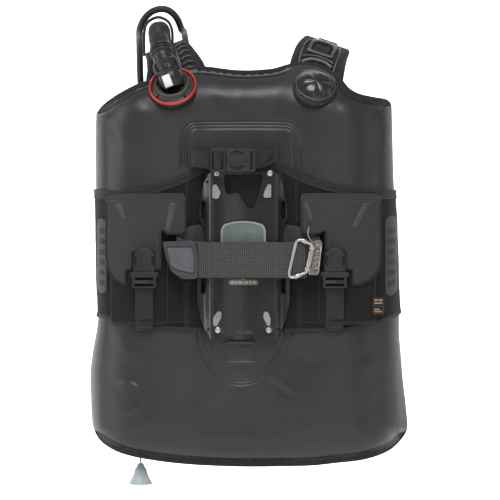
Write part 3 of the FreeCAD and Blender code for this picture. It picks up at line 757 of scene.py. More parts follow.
def dist_to(P, path, closed=False):
    """Distance from points to a polyline, and the index of the nearest segment."""
    P = np.asarray(P, float)
    A = np.asarray(path, float)
    Bp = np.roll(A, -1, 0) if closed else A[1:]
    if not closed:
        A = A[:-1]
    D = Bp - A
    L2 = (D ** 2).sum(1) + 1e-12
    best = np.full(len(P), 1e9)
    idx = np.zeros(len(P), int)
    for s in range(0, len(P), 4000):
        q = P[s:s + 4000, None, :] - A[None]
        t = np.clip((q * D).sum(2) / L2, 0, 1)
        r = q - t[..., None] * D
        d = np.sqrt((r ** 2).sum(2))
        k = d.argmin(1)
        idx[s:s + 4000] = k
        best[s:s + 4000] = d[np.arange(len(k)), k]
    return best, idx


def offprof(o):
    """The plan curve moved o mm off the cell on the tank side, as x and y."""
    t = np.gradient(PROF, axis=0)
    t /= np.linalg.norm(t, axis=1)[:, None]
    q = PROF + np.stack([t[:, 1], -t[:, 0]], 1) * (o if np.isscalar(o) else o[:, None])
    k = np.argsort(q[:, 0])
    return q[k, 0], q[k, 1]


TH = -(34 - 17 * np.clip((np.abs(PROF[:, 0]) - 130) / 95, 0, 1))
BKX, BKY = offprof(TH)
OFFS = {}


def face_y(x, o):
    key = round(float(o), 2)
    if key not in OFFS:
        OFFS[key] = offprof(key)
    return np.interp(x, *OFFS[key])


WELD_UP = catmull([(-81, 134), (-81.5, 160), (-79.5, 177), (-71, 186.5), (-58, 188), (0, 188.6), (52, 188),
                   (66, 185.5), (72.5, 176), (74, 160), (74.5, 133)], 8)
WELD_LO = catmull([(-57.5, -104), (-56.5, -118), (-50, -137), (-37, -156), (-15, -168.5), (8, -168.5),
                   (28, -158), (45, -138), (57, -117), (62, -98)], 8)
PATCH = rounded([(-27, -114), (19, -114), (17, -143), (-25, -143)], 6)
CREASES = [((24, -152), (62, -190), 1.3, 5.0), ((42, -168), (74, -192), 1.0, 3.5),
           ((-40, -176), (-62, -205), 0.7, 6.0), ((70, -128), (112, -150), 0.7, 7.0),
           ((-70, -122), (-120, -140), 0.8, 8.0), ((-196, 188), (-168, 150), 1.2, 7.0),
           ((-186, 204), (-176, 118), 0.9, 9.0), ((188, 205), (180, 120), 1.0, 9.0),
           ((202, 190), (176, 140), 0.9, 6.0), ((-150, 232), (-120, 206), 0.9, 6.0),
           ((-60, 236), (-20, 205), 0.8, 10.0), ((62, 240), (40, 208), 0.8, 9.0),
           ((130, 226), (140, 190), 0.8, 8.0), ((-190, -120), (-150, -150), 0.8, 9.0),
           ((196, -120), (150, -146), 0.9, 9.0), ((-120, -262), (-100, -225), 0.8, 8.0),
           ((30, -268), (22, -232), 0.7, 8.0), ((150, -262), (128, -226), 0.8, 8.0),
           ((-12, 250), (-4, 222), 0.6, 8.0), ((208, -160), (172, -176), 0.9, 7.0)]


def near_edge(x, z):
    d, k = dist_to(np.stack([x, z], 1), LOOP, True)
    nz = np.abs(LN[k, 1])
    return d, ss(0.35, 0.8, nz)


def front0(x, z):
    f = smax(np.interp(x, PROF[:, 0], PROF[:, 1]), -10 + 0.75 * (z - 210), 16)
    return smax(f, -6 - 0.6 * (z + 240), 16)


def back0(x, z):
    b = np.interp(x, BKX, BKY)
    return b + 0.0 * z


def swell(x, z):
    """Soft unevenness of the half-filled cell; positive is inwards."""
    s = np.array([noise.noise((a / 75.0, b / 75.0, 4.0)) * 1.5 + noise.noise((a / 31.0, b / 40.0, 9.0)) * 0.55
                  for a, b in zip(x, z)])
    P = np.stack([x, z], 1)
    for p, q, dep, w in CREASES:
        A, Bq = np.array(p, float), np.array(q, float)
        D = Bq - A
        t = ((P - A) @ D) / (D @ D)
        bend = 2.5 * np.sin(np.clip(t, 0, 1) * 3.1)
        side = (P - A) @ np.array([-D[1], D[0]]) / np.linalg.norm(D) + bend
        env = np.exp(-((t - 0.5) / 0.42) ** 2 * 1.6)
        s += dep * env * (np.exp(-(side / w) ** 2) - 0.8 * np.exp(-((side - 1.5 * w) / (1.3 * w)) ** 2))
    return s


def cell_parts(x, z):
    x, z = np.asarray(x, float), np.asarray(z, float)
    d, flat = near_edge(x, z)
    fl = 9.5 * flat
    w = 17 + 13 * flat
    t = np.clip((d - fl) / w, 0, 1)
    e = np.sqrt(np.clip(1 - (1 - t) ** 2, 0, 1))
    F, B = front0(x, z), back0(x, z)
    B = np.maximum(B, F + 9)
    M = F + (B - F) * 0.52
    return d, e, F, B, M


def cell_front(x, z, detail=True):
    d, e, F, B, M = cell_parts(x, z)
    y = M + (F - M) * e
    if detail:
        y = y + swell(x, z) * e
        P = np.stack([x, z], 1)
        for path in (WELD_UP, WELD_LO):
            g, _ = dist_to(P, path)
            y = y + 1.15 * (np.exp(-(g / 1.0) ** 2) + np.exp(-((g - 4.3) / 1.0) ** 2)) + 1.0 * np.exp(-(g / 9.0) ** 2)
            y = y - 0.35 * np.exp(-((g - 8.5) / 3.0) ** 2)
        g, _ = dist_to(P, PATCH, True)
        y = y - 0.8 * np.exp(-(g / 1.3) ** 2) + 0.5 * np.exp(-((g - 3.4) / 1.5) ** 2)
        r = np.hypot(x + 161.7, z + 192.0)
        y = y - 2.2 * (1 - ss(19.5, 26.5, r)) - 0.5 * np.exp(-((r - 19.0) / 2.0) ** 2)
    return y


def cell_back(x, z):
    d, e, F, B, M = cell_parts(x, z)
    return M + (B - M) * e


def on_cell(x, z, off=0.0, detail=False):
    x, z = np.asarray(x, float), np.asarray(z, float)
    y = cell_front(x, z, detail)
    h = 0.6
    fx = (cell_front(x + h, z, False) - cell_front(x - h, z, False)) / (2 * h)
    fz = (cell_front(x, z + h, False) - cell_front(x, z - h, False)) / (2 * h)
    n = np.stack([fx, -np.ones_like(fx), fz], 1)
    n /= np.linalg.norm(n, axis=1)[:, None]
    return np.stack([x, y, z], 1) + n * off, n


def build_cell():
    pts = [tuple(p) for p in LOOP]
    m = len(pts)
    edges = [(i, (i + 1) % m) for i in range(m)]
    for d in (0.3, 1.0, 2.2, 4.0, 6.5, 8.6, 9.6, 10.8, 12.6, 15.0, 18.5, 23.0, 28.5):
        ring = LOOP - LN * d
        real, _ = dist_to(ring, LOOP, True)
        keep = real > d * 0.9
        step = 1 if d < 20 else 2
        pts += [tuple(p) for p, k, i in zip(ring, keep, range(m)) if k and i % step == 0]
    for path in (WELD_UP, WELD_LO):
        p = by_step(path, 2.6)
        t = np.gradient(p, axis=0)
        n = np.stack([t[:, 1], -t[:, 0]], 1)
        n /= np.linalg.norm(n, axis=1)[:, None]
        for o in (0, 0.8, 1.6, 2.4, 3.4, 4.3, 5.1, 6.0, 8.0, 11.0):
            for s in ((1, -1) if o else (1,)):
                pts += [tuple(q) for q in p + n * o * s]
    base = []
    g = 3.9
    for r in range(int(600 / (g * 0.87))):
        z = -300 + r * g * 0.87
        base += [(-240 + (c + 0.5 * (r % 2)) * g, z) for c in range(int(480 / g))]
    base = np.array(base)
    ins = np.array([inside(LOOP, x, z) for x, z in base])
    base = base[ins]
    d, _ = dist_to(base, LOOP, True)
    base = base[d > 30]
    for path in (WELD_UP, WELD_LO):
        d, _ = dist_to(base, path)
        base = base[d > 12.5]
    fine = []
    d, _ = dist_to(base, PATCH, True)
    base = base[d > 5]
    pc = by_step(PATCH, 2.0, True)
    ctr = pc.mean(0)
    for o in (-4.5, -3, -1.8, -0.8, 0, 0.8, 1.8, 3, 4.5):
        fine += [tuple(q + (q - ctr) / np.linalg.norm(q - ctr) * o) for q in pc]
    for r in (17, 19, 20.5, 22, 23.5, 25, 27):
        k = int(2 * math.pi * r / 3)
        fine += [(-161.7 + r * math.cos(2 * math.pi * i / k), -192.0 + r * math.sin(2 * math.pi * i / k))
                 for i in range(k)]
    d = np.hypot(base[:, 0] + 161.7, base[:, 1] + 192.0)
    base = base[(d < 15) | (d > 29)]
    pts += fine + [tuple(p) for p in base]
    vs, _, fs, *_ = delaunay_2d_cdt([Vector(p) for p in pts], edges, [], 1, 1e-4)
    co = np.array([(v.x, v.y) for v in vs])
    d, _ = dist_to(co, LOOP, True)
    rim = d < 1e-3
    yf = cell_front(co[:, 0], co[:, 1])
    yb = cell_back(co[:, 0], co[:, 1])
    n = len(co)
    idx = np.arange(n)
    bidx = np.full(n, -1)
    bidx[~rim] = n + np.arange((~rim).sum())
    bidx[rim] = idx[rim]
    V = np.vstack([np.stack([co[:, 0], yf, co[:, 1]], 1),
                   np.stack([co[:, 0], yb, co[:, 1]], 1)[~rim]])
    faces = [tuple(f) for f in fs] + [tuple(int(bidx[i]) for i in f[::-1]) for f in fs]
    return mk("air_cell_fabric", V, faces, M_CELL, rep="air_cell", slot="cell_fabric")


build_cell()

# binding tape round the edge of the cell
cp, cn = np.array(LOOP), LN
dd, ee, FF, BB, MM = cell_parts(cp[:, 0], cp[:, 1])
flat = ss(0.35, 0.8, np.abs(cn[:, 1]))
edge = np.stack([cp[:, 0], MM, cp[:, 1]], 1)
outd = np.stack([cn[:, 0], 0 * MM, cn[:, 1]], 1)
# width and height of the tape change from a flat flange on top and hem to a narrow roll at the sides
sec = [(-1.0, 0.42), (-0.93, 0.72), (-0.72, 0.62), (-0.5, 0.74), (-0.28, 0.62), (-0.1, 0.66), (0.12, 0.4), (0.17, 0),
       (0.12, -0.4), (-0.1, -0.66), (-0.5, -0.66), (-0.93, -0.66), (-1.0, -0.42)]
V, F, wv = [], [], []
L = np.r_[0, np.cumsum(np.linalg.norm(np.diff(cp, axis=0), axis=1))]
for i in range(len(cp)):
    wdt = 3.5 + 6.5 * flat[i]
    thk = 1.9 + 0.8 * flat[i]
    rp = 1 + 0.22 * flat[i] * math.sin(L[i] * 2.6 + 3 * noise.noise((L[i] * 0.04, 1.0, 0)))
    for a, b in sec:
        V.append(edge[i] + outd[i] * a * wdt + np.array([0, -1, 0]) * b * thk * rp)
        wv.append((L[i], a * wdt, 0))
m = len(sec)
n = len(cp)
for i in range(n):
    j = (i + 1) % n
    for k in range(m):
        F.append((i * m + k, j * m + k, j * m + (k + 1) % m, i * m + (k + 1) % m))
mk("cell_binding", V, F, M_BIND, wv=wv, slot="cell_fabric")
sel = flat > 0.9
runs, cur = [], []
for i in range(len(cp)):
    if sel[i]:
        cur.append(i)
    elif cur:
        runs.append(cur)
        cur = []
if cur:
    if sel[0] and runs:
        runs[0] = cur + runs[0]
    else:
        runs.append(cur)
for q, r in enumerate(runs):
    if len(r) > 8:
        stitches("cell_binding_stitch_%d" % q, edge[r] + outd[r] * -6.6 + np.array([0, -1.95, 0]), np.array([0, -1.0, 0]),
                 M_THREADL, 4.2, 2.9, 0.36, 0.1, slot="cell_fabric")

# =====================================================================
# cordura side panels
# =====================================================================
PL_TOP = [(-208.9, 98.7), (-192.2, 95.9), (-174.2, 94.5), (-150.5, 97.3), (-129.7, 101.5),
          (-108.8, 107.0), (-88.0, 115.4), (-71.3, 123.7), (-56.0, 132.0), (-44.0, 134.5)]
PL_LOW = [(-208.9, -78.4), (-203.3, -79.2), (-190.8, -81.3), (-176.9, -84.8), (-160.3, -90.3),
          (-136.6, -94.5), (-101.9, -96.6), (-69.0, -98.5), (-44, -99)]
PR_TOP = [(44.0, 134.5), (55.2, 132.0), (67.7, 125.1), (85.8, 116.8), (106.6, 109.1),
          (134.4, 102.2), (162.2, 97.3), (190.0, 95.9), (215.0, 97.3), (221.0, 97.6)]
PR_LOW = [(44, -100.4), (69.0, -100.1), (127.5, -98.7), (155.3, -95.2), (178.9, -90.3), (197.0, -84.1),
          (210.9, -79.9), (221.0, -75.1)]


def edge_x(z, sx):
    L2 = LOOP[LOOP[:, 0] * sx > 150]
    k = np.argsort(L2[:, 1])
    return np.interp(z, L2[k, 1], L2[k, 0])


def curve(pts):
    c = np.array(catmull(sorted(pts), 8))
    return c[:, 0], c[:, 1]


def panel_grid(sx, top, low, v0, v1, rows, cols=90, x_in=56.0, wrap=24.0, zmode="frac"):
    """Base points of the side panel: rows up the panel, columns from its inner edge round to the back."""
    tx, tz = curve(top)
    lx, lz = curve(low)
    c = np.linspace(0, 1, cols)
    q = np.where(c < 0.80, c / 0.80, 1.0)
    g = 1 - (1 - q) ** 1.7
    back = np.clip((c - 0.80) / 0.20, 0, 1)
    out = np.zeros((rows, cols, 3))
    for r in range(rows):
        f = r / (rows - 1)
        x = sx * (x_in + (205 - x_in) * g)
        for _ in range(3):
            zt = np.interp(x, tx, tz)
            zl = np.interp(x, lx, lz)
            if zmode == "frac":
                a, b = zl + (zt - zl) * v0, zl + (zt - zl) * v1
            else:
                ref = zt if v0 > -50 and zmode == "top" else zl
                a, b = ref + v0, ref + v1
            z = a + (b - a) * f
            xe = edge_x(z, sx)
            x = sx * x_in + (xe - sx * x_in) * g
            x = np.where(c > 0.80, xe - sx * wrap * back ** 1.25, x)
        d, e, Fq, Bq, Mq = cell_parts(x, z)
        yf = Mq + (Fq - Mq) * e
        yb = Mq + (Bq - Mq) * e
        y = np.where(c > 0.80, yb, yf)
        out[r] = np.stack([x, y, z], 1)
    return out


def grid_normals(G, sx):
    du = np.gradient(G, axis=1)
    dv = np.gradient(G, axis=0)
    n = np.cross(du, dv)
    n /= np.linalg.norm(n, axis=2)[..., None] + 1e-9
    if n[G.shape[0] // 2, 5, 1] > 0:
        n = -n
    return n


def grid_sheet(name, G, off, t, mat, sx, crown=None, wvs=None, **kw):
    n = grid_normals(G, sx)
    # soften the normals so that the sheet turns smoothly round the edge
    for _ in range(3):
        n[:, 1:-1] = (n[:, :-2] + 2 * n[:, 1:-1] + n[:, 2:]) / 4
    n /= np.linalg.norm(n, axis=2)[..., None]
    R, C = G.shape[:2]
    o = np.full((R, C), float(off))
    if crown is not None:
        o = o + crown
    P = G + n * o[..., None]
    F = [(r * C + c, r * C + c + 1, (r + 1) * C + c + 1, (r + 1) * C + c) for r in range(R - 1) for c in range(C - 1)]
    lu = np.concatenate([np.zeros((R, 1)), np.cumsum(np.linalg.norm(np.diff(P, axis=1), axis=2), axis=1)], 1)
    wv = np.stack([lu, P[..., 2], 0 * lu], 2).reshape(-1, 3)
    ob = mk(name, P.reshape(-1, 3), F, mat, wv=wv, normals=False, **kw)
    me = ob.data
    k = sum(pp.normal.y * pp.area for pp in me.polygons if pp.center.y * 1000 < 20)
    if k > 0:
        me.flip_normals()
    solidify(ob, t, -1.0)
    return ob, P, n


PANEL = {}
for sx, nm, top, low in ((-1, "left", PL_TOP, PL_LOW), (1, "right", PR_TOP, PR_LOW)):
    G = panel_grid(sx, top, low, 0.0, 1.0, 74, 96)
    jit = np.zeros(G.shape[:2])
    for r in range(G.shape[0]):
        for c in range(G.shape[1]):
            x, y, z = G[r, c]
            jit[r, c] = 0.55 * noise.noise((x / 26, z / 34, 2.0)) + 0.25 * noise.noise((x / 11, z / 13, 5.0))
    kw = dict(rep="side_panels") if sx < 0 else {}
    ob, P, n = grid_sheet("side_panel_" + nm, G, 2.6, 1.6, M_CORD, sx, crown=jit, slot="cordura", **kw)
    PANEL[sx] = (P, n)
    # top binding: a folded tape with two raised edges, and its stitching
    G = panel_grid(sx, top, low, -11.0, 1.6, 11, 110, zmode="top")
    prof_c = np.array([0.0, 0.9, 0.75, 0.45, 0.4, 0.42, 0.4, 0.5, 0.85, 0.9, 0.1])[:, None] * np.ones((1, 110))
    rib = np.array([[0.12 * math.sin(c * 1.9 + r) for c in range(110)] for r in range(11)])
    ob, P2, n2 = grid_sheet("side_panel_binding_" + nm, G, 3.1, 1.5, M_BIND, sx, crown=prof_c + rib, slot="black_webbing")
    for k, row in enumerate((2, 8)):
        stitches("binding_stitch_%s_%d" % (nm, k), P2[row, :76], n2[row, :76], M_THREADL, 3.9, 2.7, 0.34, 0.2)
    G = panel_grid(sx, top, low, -1.0, 5.0, 6, 96, zmode="low")
    pc = np.array([0.0, 0.8, 0.7, 0.7, 0.8, 0.0])[:, None] * np.ones((1, 96))
    ob, P3, n3 = grid_sheet("side_panel_hem_" + nm, G, 3.0, 1.2, M_BIND, sx, crown=pc, slot="black_webbing")
    stitches("hem_stitch_%s" % nm, P3[3, :76], n3[3, :76], M_THREADL, 3.9, 2.7, 0.32, 0.15)


def on_panel(x, z, off=0.0):
    """Points on the face of the side panel."""
    return on_cell(x, z, 2.9 + off)


def seam(name, pts, off=0.2, r=1.0, rows=(-2.6, 2.6), surf=on_panel, body="vest", piping=True, mat=None):
    """A sewn seam over a surface: piping with a row of stitches each side."""
    p = by_step(catmull(pts, 8), 2.5)
    P, N = surf(p[:, 0], p[:, 1], off)
    if piping:
        pipe(name + "_piping", P, r, mat or M_BIND, seg=8, body=body)
    t = np.gradient(P, axis=0)
    t /= np.linalg.norm(t, axis=1)[:, None]
    s = np.cross(t, N)
    for k, o in enumerate(rows):
        stitches("%s_stitch_%d" % (name, k), P + s * o - N * (off - 0.15), N, M_THREADL, 3.7, 2.6, 0.33, 0.1, body=body)


seam("seam_l1", [(-182, 92), (-181, 40), (-179, -20), (-177.5, -83)])
seam("seam_r3", [(181, 93), (181, 40), (180, -20), (179, -87)])
seam("seam_l3", [(-80, 118), (-80, 80), (-80, 52)], rows=(-2.4,))
seam("seam_r1", [(76, 120), (76, 86), (77, 52)], rows=(2.4,))
seam("seam_l4", [(-80, -30), (-80, -60), (-79, -96)], rows=(-3.0, 3.0))
seam("seam_r4", [(79, -30), (79, -60), (79, -97)], rows=(-3.0, 3.0))

# =====================================================================
# backpack plate, pads, badge, screws
# =====================================================================
TANK_R = 92.0


def arc_y(x):
    return -(TANK_R - np.sqrt(TANK_R ** 2 - np.minimum(np.abs(x), 60.0) ** 2))


WING = np.array(catmull([(42.5, float(arc_y(42.5))), (44.4, -10.3), (46.6, -8.9), (49.4, -6.4), (52.6, -3.6), (56, -1.3),
                         (60, 0.4), (67, 2.0)], 6))


def plate_y(x, z=0):
    a = np.abs(x)
    return np.where(a < 42.5, arc_y(a), np.interp(a, WING[:, 0], WING[:, 1]))


def circle(cx, cz, r, n=20):
    return [(cx + r * math.cos(2 * math.pi * i / n), cz + r * math.sin(2 * math.pi * i / n)) for i in range(n)]


def vslab(name, outline, front, back, mat, holes=(), spacing=2.6, step=1.8, extra=None, bev=0.6, **kw):
    """Moulded plate in the XZ plane; front(x, z) and back(x, z) take arrays."""
    p2, fs = tri2d(outline, holes, spacing, step)
    p = np.array(p2)
    n = len(p)
    yf = front(p[:, 0], p[:, 1]) if callable(front) else np.full(n, float(front))
    yb = back(p[:, 0], p[:, 1]) if callable(back) else np.full(n, float(back))
    V = np.vstack([np.stack([p[:, 0], yf, p[:, 1]], 1), np.stack([p[:, 0], yb, p[:, 1]], 1)])
    faces = [tuple(f) for f in fs] + [tuple(i + n for i in f[::-1]) for f in fs]
    cnt = set()
    for f in fs:
        for i in range(len(f)):
            cnt.add((f[i], f[(i + 1) % len(f)]))
    for (a, b) in cnt:
        if (b, a) not in cnt:
            faces.append((b, a, a + n, b + n))
    wv = np.vstack([np.c_[p, np.zeros(n)], np.c_[p, np.zeros(n)]])
    o = mk(name, V, faces, mat, wv=wv, **kw)
    bm = bmesh.new()
    bm.from_mesh(o.data)
    for e in bm.edges:
        if len(e.link_faces) == 2 and e.calc_face_angle(0) > math.radians(50):
            e.smooth = False
    bm.to_mesh(o.data)
    bm.free()
    if bev:
        bevel(o, bev, 3, 50)
    return o


def grid_plate(name, outline, holes, xs, dz, front, back, mat, bev, **kw):
    """Like vslab, but filled with columns at given xs so that folds along Z stay crisp."""
    loops = [by_step(outline, 1.8, True)] + [by_step(h, 1.2, True) for h in holes]
    pts, edges = [], []
    for lp in loops:
        b = len(pts)
        pts += [Vector((float(q[0]), float(q[1]))) for q in lp]
        edges += [(b + i, b + (i + 1) % len(lp)) for i in range(len(lp))]
    allb = np.vstack(loops)
    z0, z1 = loops[0][:, 1].min(), loops[0][:, 1].max()
    for x in xs:
        for z in np.arange(z0 + dz / 2, z1, dz):
            if inside(loops[0], x, z) and not any(inside(h, x, z) for h in loops[1:]):
                if np.min(np.hypot(allb[:, 0] - x, allb[:, 1] - z)) > 0.55:
                    pts.append(Vector((x, z)))
    vs, _, fs, *_ = delaunay_2d_cdt(pts, edges, [], 1, 1e-5)
    p = np.array([(v.x, v.y) for v in vs])
    ctr = [p[list(f)].mean(0) for f in fs]
    fs = [f for f, c in zip(fs, ctr) if inside(loops[0], *c) and not any(inside(h, *c) for h in loops[1:])]
    n = len(p)
    yf, yb = front(p[:, 0], p[:, 1]), back(p[:, 0], p[:, 1])
    V = np.vstack([np.stack([p[:, 0], yf, p[:, 1]], 1), np.stack([p[:, 0], yb, p[:, 1]], 1)])
    faces = [tuple(f) for f in fs] + [tuple(i + n for i in f[::-1]) for f in fs]
    cnt = {(f[i], f[(i + 1) % len(f)]) for f in fs for i in range(len(f))}
    faces += [(b, a, a + n, b + n) for (a, b) in cnt if (b, a) not in cnt]
    o = mk(name, V, faces, mat, **kw)
    bm = bmesh.new()
    bm.from_mesh(o.data)
    for e in bm.edges:
        if len(e.link_faces) == 2 and e.calc_face_angle(0) > math.radians(55):
            e.smooth = False
    bm.to_mesh(o.data)
    bm.free()
    bevel(o, bev, 3, 55)
    return o


PH = [(41, 124), (50, 118.5), (56, 104), (60.5, 75), (61.6, 58), (57.5, 50), (54.5, 43),
      (54.5, 28), (57.5, 18), (61.5, -8), (64.4, -33), (64.4, -56), (60, -80), (54.5, -94),
      (45.5, -112.6), (33, -109), (20, -106), (14.5, -106.5), (12.5, -111), (0, -111)]
PLATE = PH + [(-x, z) for x, z in PH[-2::-1]]
PLATE_O = rounded(PLATE, [3 if abs(z) > 100 else 14 for x, z in PLATE], 5)
HANDLE = rounded([(-27, 119), (27, 119), (24, 100), (19, 83), (13.5, 71.5), (7, 71.5), (1, 80), (-5, 91), (-9.5, 94),
                  (-15, 92), (-23.5, 91), (-26, 101)], [4, 4, 7, 5, 4, 4, 6, 4, 4, 4, 4, 6], 4)
holes = [HANDLE]
for sx in (-1, 1):
    for z0, z1 in ((57, 82), (-47, -25)):
        a, b = sorted((sx * 53.2, sx * 58.8))
        holes.append(rounded([(a, z0), (b, z0), (b, z1), (a, z1)], 2.7, 4))
for x, z in ((50.7, 108.4), (-50.7, 108.4), (48.9, -95.9), (-48.9, -95.9)):
    holes.append(circle(x, z, 1.7, 12))
SCREWS = [(37.0, 120.5), (-37.0, 120.5), (35.5, -97.3), (-35.5, -97.3)]
xs = list(np.arange(-42, 42.1, 2.8))
for s in (-1, 1):
    xs += [s * a for a in (43.4, 44.2, 44.9, 45.6, 46.2, 46.8, 47.3, 47.8, 48.3, 48.9, 49.6, 50.4, 51.6, 53, 55.2, 57.5, 60, 62.4)]


def plate_front(x, z):
    y = plate_y(x)
    a = np.abs(x)
    # a raised foot, a low bump below the handle opening and bosses round the screws
    y = y - 0.0 * a
    y = y + 0.8 * np.exp(-((z + 103.5) / 2.2) ** 2) * (a < 12)
    y = y + 0.7 * np.exp(-((z - 84) / 9.0) ** 2) * np.exp(-((x + 11) / 8.0) ** 2)
    for cx, cz in SCREWS:
        r = np.hypot(x - cx, z - cz)
        y = y + 1.1 * (1 - ss(4.0, 6.4, r)) * 1.0
    return y


grid_plate("backpack_plate_moulding", PLATE_O, holes, xs, 2.6, plate_front,
           lambda x, z: plate_y(x) + 3.6 + 0 * z, M_PLATE, 0.55, rep="backpack_plate", slot="black_plastic")


def pad(name, outline, h, mat, inset=None, bev=0.7, **kw):
    return vslab(name, outline, lambda x, z: arc_y(x) - h + 0 * z, lambda x, z: arc_y(x) + 0.1 + 0 * z, mat,
                 spacing=2.2, step=1.4, bev=bev, slot="grey_rubber", **kw)


CP = rounded([(-27.5, 49.5), (-14, 53.4), (0, 54.4), (14, 53.4), (27.5, 49.5), (31.5, 42), (31.5, -10), (28, -14.5), (-28, -14.5), (-31.5, -10), (-31.5, 42)],
             [7, 20, 20, 20, 7, 8, 4, 4, 4, 4, 8], 8)
CPI = rounded([(-25, 46.7), (-13, 50.2), (0, 51.2), (13, 50.2), (25, 46.7), (28.3, 40.5), (28.3, -9), (26, -11.5), (-26, -11.5), (-28.3, -9), (-28.3, 40.5)],
              [6, 18, 18, 18, 6, 7, 3, 3, 3, 3, 7], 8)
vslab("saddle_pad_rim", CP, lambda x, z: arc_y(x) - 2.4, lambda x, z: arc_y(x) + 0.1, M_PAD, holes=[CPI],
      spacing=2.2, step=1.4, bev=0.8, rep="saddle_pads", slot="grey_rubber")


def pad_field(x, z):
    # a plain raised wave stands in the middle of the pad
    u = (x - 3) / 9.0
    wv_ = np.exp(-((z - 33 - 5 * np.sin(u * 2.2)) / 2.2) ** 2) * np.exp(-(u / 1.0) ** 4)
    return arc_y(x) - 1.35 - 0.7 * wv_


vslab("saddle_pad_field", CPI, pad_field, lambda x, z: arc_y(x) + 0.1, M_PAD2, spacing=1.5, step=1.4, bev=0,
      slot="grey_rubber")
DROPS = [[(-41.8, 104.7), (-37, 105.2), (-31.2, 93.5), (-34.4, 85), (-42.8, 84.5), (-43.2, 97)],
         [(34.6, 105.6), (38.8, 105.4), (39.0, 86.2), (28.2, 86.2), (28.0, 91.5), (31.8, 101)],
         [(-35.9, -71.6), (-29.6, -71.2), (-31.0, -81.7), (-36.9, -92.4), (-42.0, -91.2), (-41.8, -79.5)],
         [(28.8, -71.4), (34.4, -71.6), (38.2, -81.7), (37.6, -91.2), (33.6, -92.0), (27.4, -80.1)]]
for i, dp in enumerate(DROPS):
    pad("saddle_pad_drop_%d" % i, rounded(dp, 3.2, 5), 2.4, M_PAD, bev=0.9)
    # a near-black outline a little larger than each drop: painted shade in the gap round it
    c = np.mean(dp, 0)
    big = [tuple(c + (np.array(q) - c) * 1.14) for q in dp]
    pad("saddle_pad_socket_%d" % i, rounded(big, 3.4, 5), 0.5, M_SHADOW, bev=0.2)
# the same painted shade round the centre pad
c2 = [tuple(np.array([0, 19.5]) + (np.array(q) - np.array([0, 19.5])) * 1.045) for q in CP]
pad("saddle_pad_socket_c", c2, 0.45, M_SHADOW, bev=0.2)

# badge: a plain plate with a row of raised bars
BO = rounded([(-21.5, -31), (-18.5, -27.2), (-3, -27.0), (-2, -25.2), (2, -25.2), (3, -27.0), (18.5, -27.2), (21.5, -31),
              (18.5, -34.8), (-18.5, -34.8)], 1.1, 3)
vslab("badge_base", BO, lambda x, z: arc_y(x) - 1.2, lambda x, z: arc_y(x) + 0.1, M_STEELD, spacing=1.6, step=1.0,
      bev=0.35, rep="badge_plate", slot="badge_metal")
for i, (a, b) in enumerate(((-18, -12.5), (-11, -8), (-6.5, -0.5), (1, 6.5), (8, 11), (12.5, 18))):
    vslab("badge_bar_%d" % i, rounded([(a, -29.3), (b, -29.3), (b, -32.6), (a, -32.6)], 1.0, 3),
          lambda x, z: arc_y(x) - 1.9, lambda x, z: arc_y(x) - 1.0, M_BADGE, spacing=1.5, step=0.8, bev=0.3)

# the carrying opening is deep and dark: a near-black plate behind it paints the opening's shade, with the cell's fabric
# out of sight
vslab("handle_shadow", rounded([(-31, 122), (31, 122), (27, 96), (20, 78), (10, 66), (-10, 66), (-19, 80), (-27, 98)], 5, 4), 3.9, 4.9, M_SHADOW, spacing=6, step=3,
      bev=0, slot="black_plastic")

# screws in their cups
for i, (x, z) in enumerate(SCREWS):
    y = float(arc_y(x))
    lathe("screw_cup_%d" % i, [(5.1, 0.9), (5.5, 1.5), (4.9, 1.9), (4.3, 1.3), (4.2, -0.6)], (x, y + 1.0, z), (0, -1, 0),
          M_BLACK, seg=28)
    hexa = lambda r, h, t: (r, h)
    lathe("screw_head_%d" % i, [(0.05, 0.2), (1.25, 0.2), (1.45, 1.55), (2.2, 1.95), (3.3, 1.85), (4.0, 1.3), (4.15, 0.4), (4.1, -0.8)],
          (x, y + 0.6, z), (0, -1, 0), M_STEEL, seg=24, **({"rep": "plate_screws"} if i == 0 else {}), slot="steel",
          mod=lambda r, h, t: ((r * (1 + 0.10 * math.cos(6 * t)) if r < 1.6 else r), h))

# =====================================================================
# tank band, grip, cam buckle
# =====================================================================
BP = [(94.5, -21.2, 4), (100.5, -20.2, 4.5), (104.3, -15.5, 6), (102, -9.8, 10), (94, -5.5, 15),
      (84, -2.4, 19), (74, -0.3, 22), (67.5, 2.0, 23.5), (62, 5.6, 24), (57, 7.3, 24.5), (44, 8.3, 24.5),
      (0, 8.3, 24.5), (-44, 8.3, 24.5), (-57, 7.3, 24.5), (-62, 5.6, 24), (-67.5, 2.0, 23.5),
      (-74, -0.3, 22), (-84, -2.6, 18), (-91, -6.5, 13), (-91.5, -11, 9), (-84, -15, 4), (-66, -17.2, 1),
      (-40, -17.4, 0), (0, -17.4, 0), (40, -17.4, 0), (66, -17.4, 0), (80, -17.5, 0),
      (85.2, -18.2, 0), (87.0, -20.0, 0), (85.2, -21.8, 0), (80, -22.5, 0), (40, -22.6, 0),
      (0, -22.6, 0), (-40, -22.6, 0), (-64, -22.6, 0)]
band_o, BPts, BW, BN, BL = ribbon("tank_band_webbing", BP, (0, 0, 25.0), 2.3, M_BAND, seg=5, wseg=14, round_=0.5,
                                  rep="tank_band", slot="band_webbing")
# selvedge lines and the box stitching near the grip
k0 = int(np.argmax((BPts[:, 1] < -22.3) & (BPts[:, 0] < 78)))
seg = BPts[k0:]
for i, dz in enumerate((-22.6, 22.6)):
    stitches("band_selvedge_%d" % i, seg + np.array([0, -1.25, dz]), np.array([0, -1.0, 0]), M_THREADL, 2.2, 1.9, 0.3, 0.02,
             slot="band_webbing")
for i, x in enumerate((-54, -50.5)):
    stitches("band_bar_tack_%d" % i, np.array([(x, -23.85, -20), (x, -23.85, 20)]), np.array([0, -1.0, 0]), M_THREADL,
             2.6, 2.0, 0.4, 0.1, slot="band_webbing")

